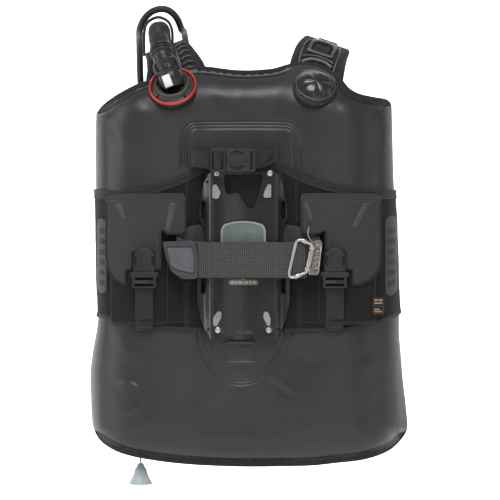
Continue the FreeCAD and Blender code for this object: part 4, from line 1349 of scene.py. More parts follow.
GO = rounded([(-111.5, 25.6), (-68.5, 26.0), (-64.2, 14), (-62.6, -1), (-64, -26), (-84, -26.4), (-99.5, -16), (-106.5, 2)],
             [3, 3, 12, 14, 3, 12, 16, 14], 6)
GI = rounded([(-107.0, 18.6), (-70.6, 18.8), (-67.2, 8), (-66.6, -2), (-67.4, -20.6), (-91.5, -14.8), (-101.5, -9.0)],
             [2, 2, 8, 8, 2.5, 6, 6], 6)
GI2 = rounded([(-105.3, 17.2), (-71.6, 17.4), (-68.6, 7.5), (-68.1, -2), (-69, -18.6), (-91.0, -13.2), (-100.3, -8.0)],
              [2, 2, 8, 8, 2.5, 6, 6], 6)
GC = rounded([(-94, 11), (-71, 12), (-70, 0), (-71.5, -11.5), (-90, -5.5)], 4, 5)
vslab("band_grip_base", GO, -25.2, -20.0, M_GRIP, spacing=3, step=1.6, bev=0.9, rep="band_grip", slot="grip_rubber")
vslab("band_grip_rim", GO, lambda x, z: -26.9 - 0.0 * x, -24.6, M_GRIP, holes=[GI], spacing=1.8, step=1.3, bev=0.75,
      slot="grip_rubber")
vslab("band_grip_field", GI2, lambda x, z: -26.0 - 0.4 * np.cos((z - 2) / 20.0), -24.6, M_GRIP2, spacing=2.0, step=1.3,
      bev=0.5, slot="grip_rubber")
vslab("band_grip_boss", GC, -26.9, -25.6, M_GRIP2, spacing=2.2, step=1.3, bev=0.8, slot="grip_rubber")

A13 = math.radians(13)
AX = np.array([math.sin(A13), 0, math.cos(A13)])
HC, LC = np.array([92.0, -27.0, 2.0]), np.array([67.7, -27.0, 1.4])
ring = [HC + AX * 19, LC + AX * 30, LC - AX * 30, HC - AX * 19]
rp = rounded([(p[0], p[2]) for p in ring], [5.5, 7.5, 7.5, 5.5], 9)
rp = by_step(rp, 1.6, True)


def closed_pipe(name, P, r, mat, seg=14, **kw):
    P = np.asarray(P, float)
    n = len(P)
    T = np.roll(P, -1, 0) - np.roll(P, 1, 0)
    T /= np.linalg.norm(T, axis=1)[:, None]
    up = np.array([0, -1.0, 0]) if abs(T[:, 1]).max() < 0.5 else np.array([1.0, 0, 0])
    V, F = [], []
    for i in range(n):
        s = np.cross(T[i], up)
        s /= np.linalg.norm(s)
        u = np.cross(s, T[i])
        for k in range(seg):
            a = 2 * math.pi * k / seg
            V.append(P[i] + (s * math.cos(a) + u * math.sin(a)) * r)
    for i in range(n):
        j = (i + 1) % n
        for k in range(seg):
            l = (k + 1) % seg
            F.append((i * seg + k, i * seg + l, j * seg + l, j * seg + k))
    return mk(name, V, F, mat, **kw)


closed_pipe("cam_bail_wire", [(x, -27.0, z) for x, z in rp], 2.2, M_STEEL, body="cam_bail", rep="cam_buckle_bail",
            slot="steel")
for i, s in enumerate((1, -1)):
    a, b = LC + AX * 30 * s, HC + AX * 19 * s
    c = a + (b - a) * (0.46 if s > 0 else 0.50)
    d = (b - a) / np.linalg.norm(b - a)
    lathe("cam_bail_sleeve_%d" % i, [(2.3, -4.2), (3.1, -3.8), (3.35, -3.0), (3.35, 3.0), (3.1, 3.8), (2.3, 4.2)],
          c, d, M_STEEL, seg=24, body="cam_bail", slot="steel")
    lathe("cam_bail_eye_%d" % i, [(2.3, -2.4), (3.9, -2.2), (4.2, -1.4), (4.2, 1.4), (3.9, 2.2), (2.3, 2.4)],
          HC + AX * (14.6 if s > 0 else -14.6), AX, M_STEEL, seg=24, body="cam_bail", slot="steel")

# the buckle's plate: pressed sheet with rolled edges, perforations, and its barrel on the bail's bar
CPO = rounded([(94.3, 26.2), (107.3, 28.0), (109.2, 22), (103.5, -20.8), (90.2, -20.8), (90.2, -12), (94.4, -10)], 2.2, 5)
ch = [circle(98.4 + 3.6 * i + j * 0.6, -14 + 9.5 * j, 1.25, 12) for i in range(3) for j in range(4)
      if inside(CPO, 98.4 + 3.6 * i + j * 0.6 + 1.9, -14 + 9.5 * j)]
vslab("cam_plate_sheet", CPO, lambda x, z: -24.6 - 0.9 * np.exp(-((x - 100.5) / 2.2) ** 2), -22.7, M_STEELD, holes=ch, spacing=1.8,
      step=1.3, bev=0.3, rep="cam_buckle_plate", slot="steel")
lathe("cam_plate_barrel", [(2.35, -11), (3.5, -10.8), (3.65, -10), (3.65, -3.6), (3.3, -3.3), (3.3, 3.3), (3.65, 3.6), (3.65, 10), (3.5, 10.8), (2.35, 11)],
      HC, AX, M_STEEL, seg=28, slot="steel")
for i, (x0, z0, x1, z1) in enumerate(((94.6, 25, 91.2, -19.5), (108.4, 24, 103.4, -19))):
    pipe("cam_plate_edge_%d" % i, [(x0, -24.0, z0), ((x0 + x1) / 2, -24.9, (z0 + z1) / 2), (x1, -24.0, z1)], 1.0, M_STEEL, seg=10)
pipe("cam_plate_wire", np.array(catmull([(95.5, -24.6, 24), (91.5, -25.2, 30), (89.4, -25.0, 36), (90.6, -24.6, 45.5)], 8)), 0.75,
     M_STEEL, seg=10)
for k in range(5):
    pipe("cam_plate_scroll_%d" % k, np.array(catmull([(96.5 + 0.5 * k, -25.3, -14 + 8 * k), (101 + 0.4 * k, -26.0, -11 + 8 * k),
                                                     (105.5 + 0.6 * k, -25.2, -14.5 + 8.4 * k)], 6)), 0.55, M_STEEL, seg=8)

# =====================================================================
# top strap and buckle
# =====================================================================
ZB = 138.0


def bar_plate(name, outline, y0, y1, mat=None, holes=(), bev=0.7, crown=0.0, axis="x", **kw):
    """Flat moulding with rounded edges between y0 (tank side) and y1."""
    c = np.mean(outline, 0)
    hw = max(abs(np.array(outline)[:, 0 if axis == "x" else 1] - c[0 if axis == "x" else 1]))
    f = (lambda x, z: y0 + crown * (((x - c[0]) if axis == "x" else (z - c[1])) / hw) ** 2)
    return vslab(name, outline, f, y1, mat or M_BLACK, holes=holes, spacing=2.4, step=1.3, bev=bev, **kw)


def R(x0, x1, z0, z1, r=2.0):
    return rounded([(x0, z0), (x1, z0), (x1, z1), (x0, z1)], r, 4)


def lens(x0, x1, zc, h, flip, n=14):
    """A half-oval window."""
    top = [(x0 + (x1 - x0) * t, zc + flip * h * math.sin(math.pi * t)) for t in np.linspace(0, 1, n)]
    return top + [(x0 + (x1 - x0) * t, zc - flip * 0.12 * h * math.sin(math.pi * t)) for t in np.linspace(0.96, 0.04, n // 2)]


fo = rounded([(-24, ZB - 16), (17, ZB - 16), (17, ZB + 16), (-24, ZB + 16), (-23, ZB + 6), (-23, ZB - 6)], [3, 2.5, 2.5, 3, 2, 2], 5)
win = [lens(-19, 1, ZB + 8.3, 5.6, 1), lens(-19, 1, ZB - 8.3, 5.6, -1), R(9.5, 13.5, ZB - 12.9, ZB + 12.9, 1.6)]
bar_plate("top_buckle_female_front", fo, -22.0, -19.9, holes=win, crown=1.0, axis="z", rep="top_buckle_female", slot="black_plastic")
bar_plate("top_buckle_female_back", fo, -13.1, -11.0, holes=win[2:], slot="black_plastic")
for i, s in enumerate((1, -1)):
    bar_plate("top_buckle_female_side_%d" % i, R(2, 17, ZB + s * 15.9 - (2.6 if s > 0 else 0), ZB + s * 15.9 + (0 if s > 0 else 2.6), 0.8),
              -20.6, -12.4, slot="black_plastic")
    bar_plate("top_buckle_female_lip_%d" % i, R(-24, -17.6, ZB + s * 15.9 - (2.6 if s > 0 else 0), ZB + s * 15.9 + (0 if s > 0 else 2.6), 0.8),
              -20.6, -12.4, slot="black_plastic")
bar_plate("top_buckle_female_web", R(7.4, 9.3, ZB - 13.2, ZB + 13.2, 0.6), -20.6, -12.4, slot="black_plastic")
bar_plate("top_buckle_female_ridge", rounded([(-21, ZB - 3.6), (5, ZB - 3.0), (5, ZB + 3.0), (-21, ZB + 3.6)], 1.5, 4), -22.5, -20.5,
          bev=0.5, slot="black_plastic")
mo = rounded([(-46, ZB - 15), (-43, ZB - 16), (-24.4, ZB - 16), (-24.4, ZB + 16), (-43, ZB + 16), (-46, ZB + 15)], 2, 4)
mh = [R(-43, -38.6, ZB - 12.9, ZB + 12.9, 1.6), R(-32, -27.6, ZB - 12.9, ZB + 12.9, 1.6)]
bar_plate("top_buckle_male_frame", mo, -21.0, -12.0, holes=mh, body="top_latch", rep="top_buckle_male", slot="black_plastic")
for i, s in enumerate((1, -1)):
    pr = rounded([(-25, ZB + s * 6.3), (-16, ZB + s * 7.0), (-8, ZB + s * 6.6), (-2, ZB + s * 6.8), (-3.5, ZB + s * 10.5), (-9, ZB + s * 12.9), (-16, ZB + s * 12.6),
                  (-25, ZB + s * 9.8)][::int(s)], 1.6, 4)
    bar_plate("top_buckle_prong_%d" % i, pr, -18.4, -14.6, bev=0.5, body="top_latch", slot="black_plastic")
bar_plate("top_buckle_guide", R(-25, 4, ZB - 2.4, ZB + 2.4, 1.4), -18.4, -14.6, bev=0.5, body="top_latch", slot="black_plastic")
# webbing wrapped over the middle bar
ribbon("top_strap_wrap", [(-39.4, -14.2, ZB, ), (-40.0, -18.6, ZB), (-38.6, -21.8, ZB), (-35.3, -22.5, ZB), (-31.8, -21.8, ZB),
                          (-30.8, -18.6, ZB), (-31.4, -14.2, ZB)], (0, 0, 12.4), 1.5, M_WEB, seg=5, body="top_latch", slot="black_webbing")
o, *_ = ribbon("top_strap_left_webbing", [(-30, 5.2, 138), (-52, 4.8, 139), (-67, 1.5, 140), (-72, -4, 141), (-67, -11, 141),
                                          (-56, -15.2, 140), (-46.5, -16.6, 139)], (0, 0, 12.5), 1.6, M_WEB, body=None,
               rep="top_strap_left", slot="black_webbing")
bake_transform(o)
ribbon("top_strap_right_webbing", [(18.2, -16.4, 138), (29, -15.6, 141), (41, -12, 146), (47.5, -4, 148), (45, 3.0, 146),
                                   (38, 5.0, 142), (20, 5.2, 140)], (0, 0, 12.5), 1.6, M_WEB, rep="top_strap_right", slot="black_webbing")
# the doubled-over end of the right webbing, folded on the slant
dia = rounded([(8.4, 125.6), (14, 125.2), (29, 132.5), (40.8, 148.6), (39, 151.5), (22, 162), (8.4, 150.6)], [1, 1, 1.5, 1.5, 1.5, 1.5, 1], 3)
a35 = math.radians(33)
o = vslab("top_strap_right_fold", dia, lambda x, z: -19.4 + 0.10 * np.maximum(x - 18, 0) + 0.03 * np.abs(z - 142), lambda x, z: -17.6 + 0.10 * np.maximum(x - 18, 0) + 0.03 * np.abs(z - 142),
          M_WEB, spacing=3, step=2, bev=0.4, slot="black_webbing")
at = o.data.attributes["wv"]
buf = np.zeros(len(o.data.vertices) * 3, np.float32)
at.data.foreach_get("vector", buf)
b3 = buf.reshape(-1, 3)
q = b3.copy()
b3[:, 0] = q[:, 0] * math.cos(a35) + q[:, 1] * math.sin(a35)
b3[:, 1] = -q[:, 0] * math.sin(a35) + q[:, 1] * math.cos(a35)
at.data.foreach_set("vector", b3.ravel())
dia2 = rounded([(-49, 125.5), (-43.5, 125.2), (-43.5, 152), (-47, 157), (-54, 153), (-61, 146), (-60, 138)], 1.5, 3)
vslab("top_strap_left_fold", dia2, lambda x, z: -14.0 - 0.08 * (x + 60), lambda x, z: -12.4 - 0.08 * (x + 60), M_WEB, spacing=3, step=2, bev=0.4,
      body="top_latch", slot="black_webbing")

# =====================================================================
# pockets, flaps and their buckles
# =====================================================================


def face_front(o):
    """Turn an open sheet's faces towards the front."""
    me = o.data
    if sum(p.normal.y * p.area for p in me.polygons) > 0:
        me.flip_normals()


def vskin(name, outline, off, mat, t, surf=on_cell, spacing=3.0, step=2.2, holes=(), **kw):
    """A sheet lying off mm from a surface, its thickness inwards."""
    p2_, fs = tri2d(outline, holes, spacing, step)
    p = np.array(p2_)
    f = off(p[:, 0], p[:, 1]) if callable(off) else np.full(len(p), float(off))
    P, N = surf(p[:, 0], p[:, 1], 0.0)
    P = P + N * f[:, None]
    o = mk(name, P, [tuple(q) for q in fs], mat, wv=np.c_[p, np.zeros(len(p))], normals=False, **kw)
    face_front(o)
    solidify(o, t, -1.0)
    return o


def inset(poly, d):
    """Shrink a closed loop by d."""
    p = np.asarray(poly, float)
    a = 0.5 * np.sum(p[:, 0] * np.roll(p[:, 1], -1) - np.roll(p[:, 0], -1) * p[:, 1])
    t = np.roll(p, -1, 0) - np.roll(p, 1, 0)
    t /= np.linalg.norm(t, axis=1)[:, None] + 1e-9
    n = np.stack([-t[:, 1], t[:, 0]], 1) * (1 if a > 0 else -1)
    return p + n * d


def cloth_noise(x, z, k=1.0, seed=0.0):
    return np.array([0.7 * noise.noise((a / 24, b / 30, 3.0 + seed)) + 0.3 * noise.noise((a / 10, b / 12, 9.0 + seed))
                     for a, b in zip(x, z)]) * k


FLAPS = {"right": [(82.5, 93), (182.5, 93), (182.5, 4), (179.5, -14), (171, -27), (158, -34.5), (147.1, -35), (147.1, -14),
                   (139.8, -14), (139.8, 12), (114, 12), (114, 42), (108, 36), (90, 34.5), (84.5, 38), (82.5, 44)],
         "left": [(82.5, 93), (182.5, 93), (182.5, 4), (179.5, -14), (172, -26.5), (163, -33), (157.5, -35), (157.5, -14),
                  (150.2, -14), (150.2, 12), (123.8, 12), (123.8, -14), (114, -14), (114, 42), (108, 36), (90, 34.5),
                  (84.5, 38), (82.5, 44)]}
RAD = {"right": [3, 3, 14, 12, 12, 8, 2, 2, 2, 3, 3, 8, 6, 5, 3, 4], "left": [3, 3, 14, 12, 12, 6, 1.5, 2, 2, 3, 3, 2, 3, 8, 6, 5, 3, 4]}
FOFF = 16.1


def flap_off(x, z):
    u = ss(85.5, 93.0, z)
    return FOFF + (3.2 - FOFF) * u + cloth_noise(x, z, 1.1) * ss(92, 70, z)


for sx, nm in ((-1, "left"), (1, "right")):
    body = "flap_" + nm
    # pocket: face, sides and bottom in one sheet, open at the top
    po = [(sx * x, z) for x, z in ((69, 70), (181.5, 70), (181.5, -90.5), (69, -90.5))]

    def pocket_off(x, z):
        a = np.abs(x)
        A = ss(104, 123, a) * (1 - ss(176.5, 181.5, a))
        B = ss(-90.5, -84, z)
        return 3.1 + 11.0 * A * B + cloth_noise(x, z, 0.7, 4.0) * A * B

    vskin("pocket_" + nm, rounded(po, 3, 4), pocket_off, M_CORD, 1.3, spacing=2.6, step=2.0,
          rep="trim_pockets" if sx < 0 else (), slot="cordura")
    vskin("pocket_mouth_binding_" + nm, rounded([(sx * 121, 70.6), (sx * 178, 70.6), (sx * 178, 62), (sx * 121, 62)], 1.0, 2),
          14.4, M_BIND, 1.6, spacing=3, slot="black_webbing")
    for k, (x0, z0, x1, z1) in enumerate(((73, -86.0, 178, -86.0), (178.2, -84, 178.2, 66), (105.5, -84, 105.5, 66))):
        p = by_step([(sx * x0, z0), (sx * x1, z1)], 2.5)
        P, N = on_cell(p[:, 0], p[:, 1], 0)
        P = P + N * (pocket_off(p[:, 0], p[:, 1]) + 0.1)[:, None]
        stitches("pocket_stitch_%s_%d" % (nm, k), P, N, M_THREADL, 3.8, 2.7, 0.33, 0.15, slot="cordura")
    # flap with its folded top
    out = rounded([(sx * x, z) for x, z in FLAPS[nm]], RAD[nm], 5)
    kw = dict(rep="pocket_flap_" + nm)
    o = vskin("flap_" + nm, out, flap_off, M_CORD2, 1.9, spacing=2.6, step=1.8, body=None, slot="cordura", **kw)
    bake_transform(o)
    # bound edge and stitching, on the flap's own surface
    ring_ = by_step(out, 2.0, True)
    keep = ring_[:, 1] < 80
    ins = inset(ring_, 0.9)
    ins2 = inset(ring_, 5.0)
    idx = np.where(keep)[0]
    brk = np.where(np.diff(idx) > 1)[0]
    order = np.r_[idx[brk[0] + 1:], idx[:brk[0] + 1]] if len(brk) else idx

    def on_flap(q, extra=0.0):
        P, N = on_cell(q[:, 0], q[:, 1], 0)
        return P + N * (flap_off(q[:, 0], q[:, 1]) + extra)[:, None], N

    P, N = on_flap(ins[order], 0.1)
    pipe("flap_binding_" + nm, P, 1.25, M_BIND, seg=8, body=body, slot="black_webbing")
    q = ins2[order]
    P, N = on_flap(q, 0.1)
    stitches("flap_stitch_" + nm, P, N, M_THREADL, 3.6, 2.6, 0.34, 0.15, body=body, slot="cordura")
    p = by_step([(sx * 86, 82.5), (sx * 179, 82.5)], 2.5)
    P, N = on_flap(p, 0.1)
    stitches("flap_top_stitch_" + nm, P, N, M_THREADL, 3.6, 2.6, 0.34, 0.15, body=body, slot="cordura")
    p = by_step([(sx * 86, 95.5), (sx * 179, 93.2)], 2.5)
    # printed strips that cross the flap on the slant
    strips = {"left": [[(-104, 80), (-94, 80), (-103, 38), (-110, 36)], [(-172, 80), (-163, 80), (-157, 58), (-161, 56)]],
              "right": [[(86, 80), (92.5, 80), (100, 56), (95, 54)], [(161, 80), (170, 80), (153, 44), (147, 47)]]}[nm]
    for k, s in enumerate(strips):
        vskin("flap_strip_%s_%d" % (nm, k), rounded(s, 1.2, 3), lambda x, z: flap_off(x, z) + 0.22, M_PRINT, 0.5,
              spacing=3, body=body, slot="cordura")

    # ---- buckle ----
    bx = -137.0 if sx < 0 else 126.6
    yf = min(float(face_y(bx - 15, 0)), float(face_y(bx, 0)), float(face_y(bx + 15, 0))) - 14.8 - 3.8

    def O(pts):
        return [(bx + x, z) for x, z in pts]

    fo = rounded(O([(-13.6, -15.6), (13.6, -15.6), (14.8, -8), (15.0, 0), (13.4, 9), (9, 15.2), (0, 17.6), (-9, 15.2), (-13.4, 9),
                    (-15.0, 0), (-14.8, -8)]), [1.5, 1.5, 4, 5, 5, 5, 10, 5, 5, 5, 4], 5)
    wins = [[(bx + s * 11.4 + 2.3 * math.cos(a), -1.0 + 6.9 * math.sin(a)) for a in np.linspace(0, 2 * math.pi, 22)[:-1]] for s in (-1, 1)]
    vslab("flap_buckle_female_front_" + nm, fo, lambda x, z: yf - 9.0 + 1.6 * ((x - bx) / 15.0) ** 2 + 1.2 * ss(8, 18, z) ** 2, yf - 6.4, M_BLACK,
          holes=wins, spacing=2.0, step=1.1, bev=0.7, body=body, rep="flap_buckle_female_" + nm, slot="black_plastic")
    vslab("flap_buckle_ridge_" + nm, rounded(O([(-3.2, -14), (3.2, -14), (3.6, 6), (0, 12), (-3.6, 6)]), 1.6, 4),
          lambda x, z: yf - 9.8 + 0 * x, yf - 8.2, M_BLACK, spacing=2, step=1.1, bev=0.5, body=body, slot="black_plastic")
    for s in (-1, 1):
        for k, (z0, z1) in enumerate(((-15.4, -8.4), (6.4, 12.5))):
            a, b = sorted((bx + s * 12.9, bx + s * (14.6 if k == 0 else 14.0)))
            vslab("flap_buckle_wall_%s_%d_%d" % (nm, s, k), [(a, z0), (b, z0), (b, z1), (a, z1)], yf - 7.8, yf, M_BLACK,
                  spacing=3, step=2, bev=0.3, body=body, slot="black_plastic")
    vslab("flap_buckle_head_" + nm, rounded(O([(-12, 11), (12, 11), (8, 15.4), (0, 17), (-8, 15.4)]), 1.5, 4), yf - 8.0, yf + 0.4, M_BLACK,
          spacing=3, step=1.4, bev=0.6, body=body, slot="black_plastic")
    ml = "flap_latch_" + nm
    mo = rounded(O([(-19.6, -17.6), (-15, -16.0), (15, -16.0), (19.6, -17.6), (19.8, -20.4), (16.6, -24), (16.2, -31), (16.6, -38.6), (-16.6, -38.6),
                    (-16.2, -31), (-16.6, -24), (-19.8, -20.4)]), [1.2, 2, 2, 1.2, 1.2, 4, 6, 1.6, 1.6, 6, 4, 1.2], 5)
    mh = [rounded(O([(-12.9, -36.4), (12.9, -36.4), (12.9, -32.9), (-12.9, -32.9)]), 1.2, 3),
          rounded(O([(-12.9, -27.6), (12.9, -27.6), (12.9, -24.2), (-12.9, -24.2)]), 1.2, 3)]
    vslab("flap_buckle_male_frame_" + nm, mo, lambda x, z: yf - 8.0 + 0.8 * ((x - bx) / 19.0) ** 2, yf - 0.2, M_BLACK, holes=mh,
          spacing=2.2, step=1.1, bev=0.8, body=ml, rep="flap_buckle_male_" + nm, slot="black_plastic")
    for s in (-1, 1):
        pr = rounded(O([(s * 6.9, -17), (s * 6.9, 2), (s * 8.6, 6), (s * 12.0, 2.5), (s * 12.4, -3), (s * 10.6, -9), (s * 10.6, -17)]), 1.2, 4)
        vslab("flap_buckle_prong_%s_%d" % (nm, s), pr, yf - 5.6, yf - 1.2, M_BLACK, spacing=2.4, step=1.3, bev=0.5, body=ml, slot="black_plastic")
    vslab("flap_buckle_tongue_" + nm, rounded(O([(-2.5, -17), (2.5, -17), (2.5, 8), (0, 10), (-2.5, 8)]), 0.8, 3), yf - 5.6, yf - 1.2, M_BLACK,
          spacing=2.4, step=1.3, bev=0.4, body=ml, slot="black_plastic")
    vslab("flap_buckle_shade_" + nm, rounded(O([(-14.4, -37.4), (14.4, -37.4), (14.4, -23.2), (-14.4, -23.2)]), 1.0, 3), yf - 1.6, yf - 0.5, M_SHADOW,
          spacing=4, step=2, bev=0, body=ml, slot="black_plastic")
    pipe("flap_buckle_bar_" + nm, np.array([(bx - 12.8, yf - 7.2, -30.2), (bx + 12.8, yf - 7.2, -30.2)]), 1.9, M_BLACK, seg=12, body=ml, slot="black_plastic")
    yb = float(on_cell([bx], [-96.0], 4.6)[0][0, 1])
    o, P, W, N, L = ribbon("flap_strap_webbing_" + nm, [(bx, yf - 1.6, -34.0), (bx, yf - 1.2, -48), (bx, yf - 0.6, -66), (bx, yf * 0.55 + yb * 0.45, -84), (bx, yb, -97.5),
                                                        (bx, yb + 0.4, -101)],
                           (12.5, 0, 0), 1.7, M_WEB, body=None, rep="flap_strap_" + nm, slot="black_webbing")
    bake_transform(o)
    for k, zz in enumerate((-93.0, -97.0)):
        yy = float(np.interp(-zz, -P[:, 2][::1], P[:, 1]))
        stitches("flap_strap_tack_%s_%d" % (nm, k), np.array([(bx - 10.5, yy - 1.0, zz), (bx + 10.5, yy - 1.0, zz)]), np.array([0, -1.0, 0]),
                 M_THREADL, 2.4, 1.9, 0.4, 0.25, slot="black_webbing")


# =====================================================================
# side patches and the woven tag
# =====================================================================
def panel_patch(name, sx, xa, xb, z0, z1, mat, lift=0.35, n=26, m=70, rnd=10.0, t=0.5):
    P, N = PANEL[sx]
    R_, C_ = P.shape[:2]
    rz = P[:, :, 2].mean(1)
    V = []
    for j in range(m + 1):
        z = z0 + (z1 - z0) * j / m
        r = float(np.interp(z, rz if rz[0] < rz[-1] else rz[::-1], np.arange(R_) if rz[0] < rz[-1] else np.arange(R_)[::-1]))
        r0 = int(min(R_ - 2, max(0, math.floor(r))))
        f = r - r0
        row = P[r0] * (1 - f) + P[r0 + 1] * f
        nr = N[r0] * (1 - f) + N[r0 + 1] * f
        e = min(z - z0, z1 - z)
        k = 1.0 if e >= rnd else math.sqrt(max(0.0, 1 - (1 - e / rnd) ** 2))
        half = max(0.12, (xb - xa) / 2 - (1 - k) * min(rnd, (xb - xa) / 2))
        mid_ = (xa + xb) / 2
        ax_ = np.abs(row[:, 0])
        last = int(np.argmax(ax_))
        cols = np.arange(last + 1)
        # measure across the sheet itself, past the turn of the edge as well
        arc = np.r_[0, np.cumsum(np.linalg.norm(np.diff(row, axis=0), axis=1))]
        for i in range(n + 1):
            want = mid_ - half + 2 * half * i / n
            if want <= ax_[last] - 1.5:
                c = float(np.interp(want, ax_[:last + 1], cols))
            else:
                c_e = float(np.interp(ax_[last] - 1.5, ax_[:last + 1], cols))
                a = float(np.interp(c_e, np.arange(C_), arc)) + (want - ax_[last] + 1.5) * 1.5
                c = float(np.interp(a, arc, np.arange(C_)))
            c0_ = int(min(C_ - 2, math.floor(c)))
            g = c - c0_
            V.append(row[c0_] * (1 - g) + row[c0_ + 1] * g + (nr[c0_] * (1 - g) + nr[c0_ + 1] * g) * lift)
    V = np.array(V)
    w_ = n + 1
    F = [(j * w_ + i, j * w_ + i + 1, (j + 1) * w_ + i + 1, (j + 1) * w_ + i) for j in range(m) for i in range(n)]
    o = mk(name, V, F, mat, normals=False, slot="cordura")
    face_front(o)
    solidify(o, t, 0.0)
    return o


panel_patch("side_patch_left", -1, 190.5, 204.5, -51.5, 60.5, M_SHEEN, lift=0.7)
panel_patch("side_patch_right", 1, 198.0, 216.5, -54.5, 65.0, M_SHEEN, lift=0.7)
for k, (sx, xa, xb) in enumerate(((-1, 193.5, 201.5), (1, 202.0, 213.0))):
    for j in range(6):
        z0 = -40 + 15.5 * j
        panel_patch("side_patch_bar_%d_%d" % (k, j), sx, xa, xb, z0, z0 + 8.5, M_CORD2, lift=1.15, n=8, m=10, rnd=2.0, t=0.3)
TG = rounded([(172.0, -51.4), (186.4, -51.4), (186.0, -76.4), (171.6, -76.4)], 0.8, 3)
TAG_L = 15.6
vskin("woven_tag", TG, TAG_L, M_ORANGE, 0.8, spacing=2.5, step=1.4, slot="cordura")
for k, (a, b, c, d, m_) in enumerate(((174.2, 178.6, -57.5, -54.2, M_TAGMARK), (179.8, 184.0, -57.5, -54.2, M_TAGMARK), (174.2, 184.0, -60.6, -59.4, M_TAGWHITE),
                                      (174.0, 183.6, -72.8, -70.6, M_TAGMARK), (174.0, 180.5, -69.0, -68.0, M_TAGWHITE))):
    vskin("woven_tag_mark_%d" % k, [(a, d), (b, d), (b, c), (a, c)], TAG_L + 0.3, m_, 0.4, spacing=2.5, step=1.0, slot="cordura")

# =====================================================================
# shoulder valves, elbow and hoses
# =====================================================================
N1 = np.array([-0.10, -0.80, 0.60])
N1 /= np.linalg.norm(N1)
C1 = np.array([-97.7, 11.0, 238.0])
N2 = np.array([0.12, -0.80, 0.60])
N2 /= np.linalg.norm(N2)
C2 = np.array([99.7, 11.75, 239.0])
EB = C1 + N1 * 23
J1 = np.array([-112.0, -2.0, 283.0])
J2 = np.array([-116.5, 14.0, 301.0])
lathe("elbow_flange_rim", [(20, -5.8), (31.6, -5.8), (32, -5), (32, 3.6), (31.4, 4.8), (29.6, 5.1), (29.2, 4.4), (27.5, 4.2), (20, 4.2)], C1, N1, M_BLACK,
      seg=96, rep="elbow_flange", slot="black_plastic")
for i in range(28):
    a = 2 * math.pi * i / 28
    xa = np.cross(N1, [0, 0, 1.0])
    xa /= np.linalg.norm(xa)
    ya = np.cross(N1, xa)
    c = C1 + (xa * math.cos(a) + ya * math.sin(a)) * 31.9
    pipe("elbow_knurl_%02d" % i, np.array([c - N1 * 3.5, c + N1 * 3.4]), 0.9, M_BLACK, seg=8)
lathe("elbow_ring_red", [(30.0, 5.0), (30.0, 7.6), (30.6, 8.5), (31.6, 8.9), (32.8, 8.6), (33.6, 7.6), (33.6, 5.4), (33.0, 5.0)], C1, N1, M_RED,
      seg=96, closed=True, rep="elbow_ring", slot="red_plastic")
lathe("elbow_dish", [(29.8, 4.0), (29.6, 6.0), (28.6, 7.0), (27.2, 7.2), (25.4, 8.6), (24.6, 10.8), (24.4, 13.2), (23.4, 14.6), (21.8, 14.8), (20.6, 13.8), (20.0, 12.0), (17.0, 11.4)],
      C1, N1, M_GREYBLK, seg=96, rep="elbow_body", slot="black_plastic")
# near-black tubes on the dish: painted shade in its notches and slots
for i in range(4):
    a = math.pi / 4 + math.pi / 2 * i
    d = xa * math.cos(a) + ya * math.sin(a)
    pipe("elbow_notch_%d" % i, np.array([C1 + d * 24.2 + N1 * 9.2, C1 + d * 28.8 + N1 * 6.6]), 1.5, M_SHADOW, seg=10)
    d = xa * math.cos(a + 0.5) + ya * math.sin(a + 0.5)
    pipe("elbow_slot_%d" % i, np.array([C1 + d * 29.4 + N1 * 6.0, C1 + d * 27.4 + N1 * 7.4]), 0.9, M_SHADOW, seg=8)


def sphere_prof(r, a0=-80, a1=88, n=18):
    return [(r * math.cos(math.radians(a)), r * math.sin(math.radians(a))) for a in np.linspace(a0, a1, n)]


AXS = (J1 - EB) / np.linalg.norm(J1 - EB)
lathe("elbow_ball", sphere_prof(17.5, -84, 50, 20), EB, -AXS, M_BLACK, seg=56, slot="black_plastic")
LS = float(np.linalg.norm(J1 - EB))
# quick-connect block: a sleeve with a waist, two grips with slots, and coupling rings
lathe("elbow_sleeve", [(14.8, -3), (15.0, 3.0), (15.6, 6.0), (17.4, 8.4), (18.0, 9.4), (18.0, 11.8), (17.2, 12.6), (16.6, 14.2), (16.4, LS - 11), (17.2, LS - 9.5), (17.4, LS - 8.0), (16.4, LS - 6.6),
                       (14.6, LS - 6.0), (14.2, LS)], EB, AXS, M_BLACK, seg=64, slot="black_plastic",
      mod=lambda r, h, t: r * (1 + 0.035 * math.cos(2 * t)) if 5 < h < LS - 7 else r)
side_ = np.cross(AXS, [0, -1.0, 0])
side_ /= np.linalg.norm(side_)
frt = np.cross(side_, AXS)
if frt[1] > 0:
    frt = -frt
# the grips' slots are near-black tubes: painted shade
for s in (-1, 1):
    for k in range(5):
        b = EB + AXS * (12.8 + 2.9 * k) + side_ * s * 13.2 + frt * 10.6
        pipe("elbow_grip_slot_%d_%d" % (s, k), np.array([b - side_ * 1.9, b + side_ * 1.9 - frt * 1.2 * 1.0]), 0.62, M_SHADOW, seg=8)
    a = EB + AXS * 10.5 + side_ * s * 15.4 + frt * 6.4
    b = EB + AXS * (LS - 9) + side_ * s * 15.2 + frt * 6.2
    pipe("elbow_grip_bar_%d" % s, np.array(catmull([tuple(a), tuple((a + b) / 2 + side_ * s * 1.2), tuple(b)], 8)), 2.6, M_GREYBLK, seg=12)
pl = EB + AXS * (LS * 0.52) + frt * 14.6
pipe("elbow_key", np.array([pl - AXS * 4.6, pl + AXS * 4.6]), 3.4, M_GLOSS, seg=16)
AX2 = (J2 - J1) / np.linalg.norm(J2 - J1)
L2 = float(np.linalg.norm(J2 - J1))
lathe("elbow_knee", sphere_prof(14.3, -86, 86, 24), J1, AX2, M_BLACK, seg=56, slot="black_plastic")
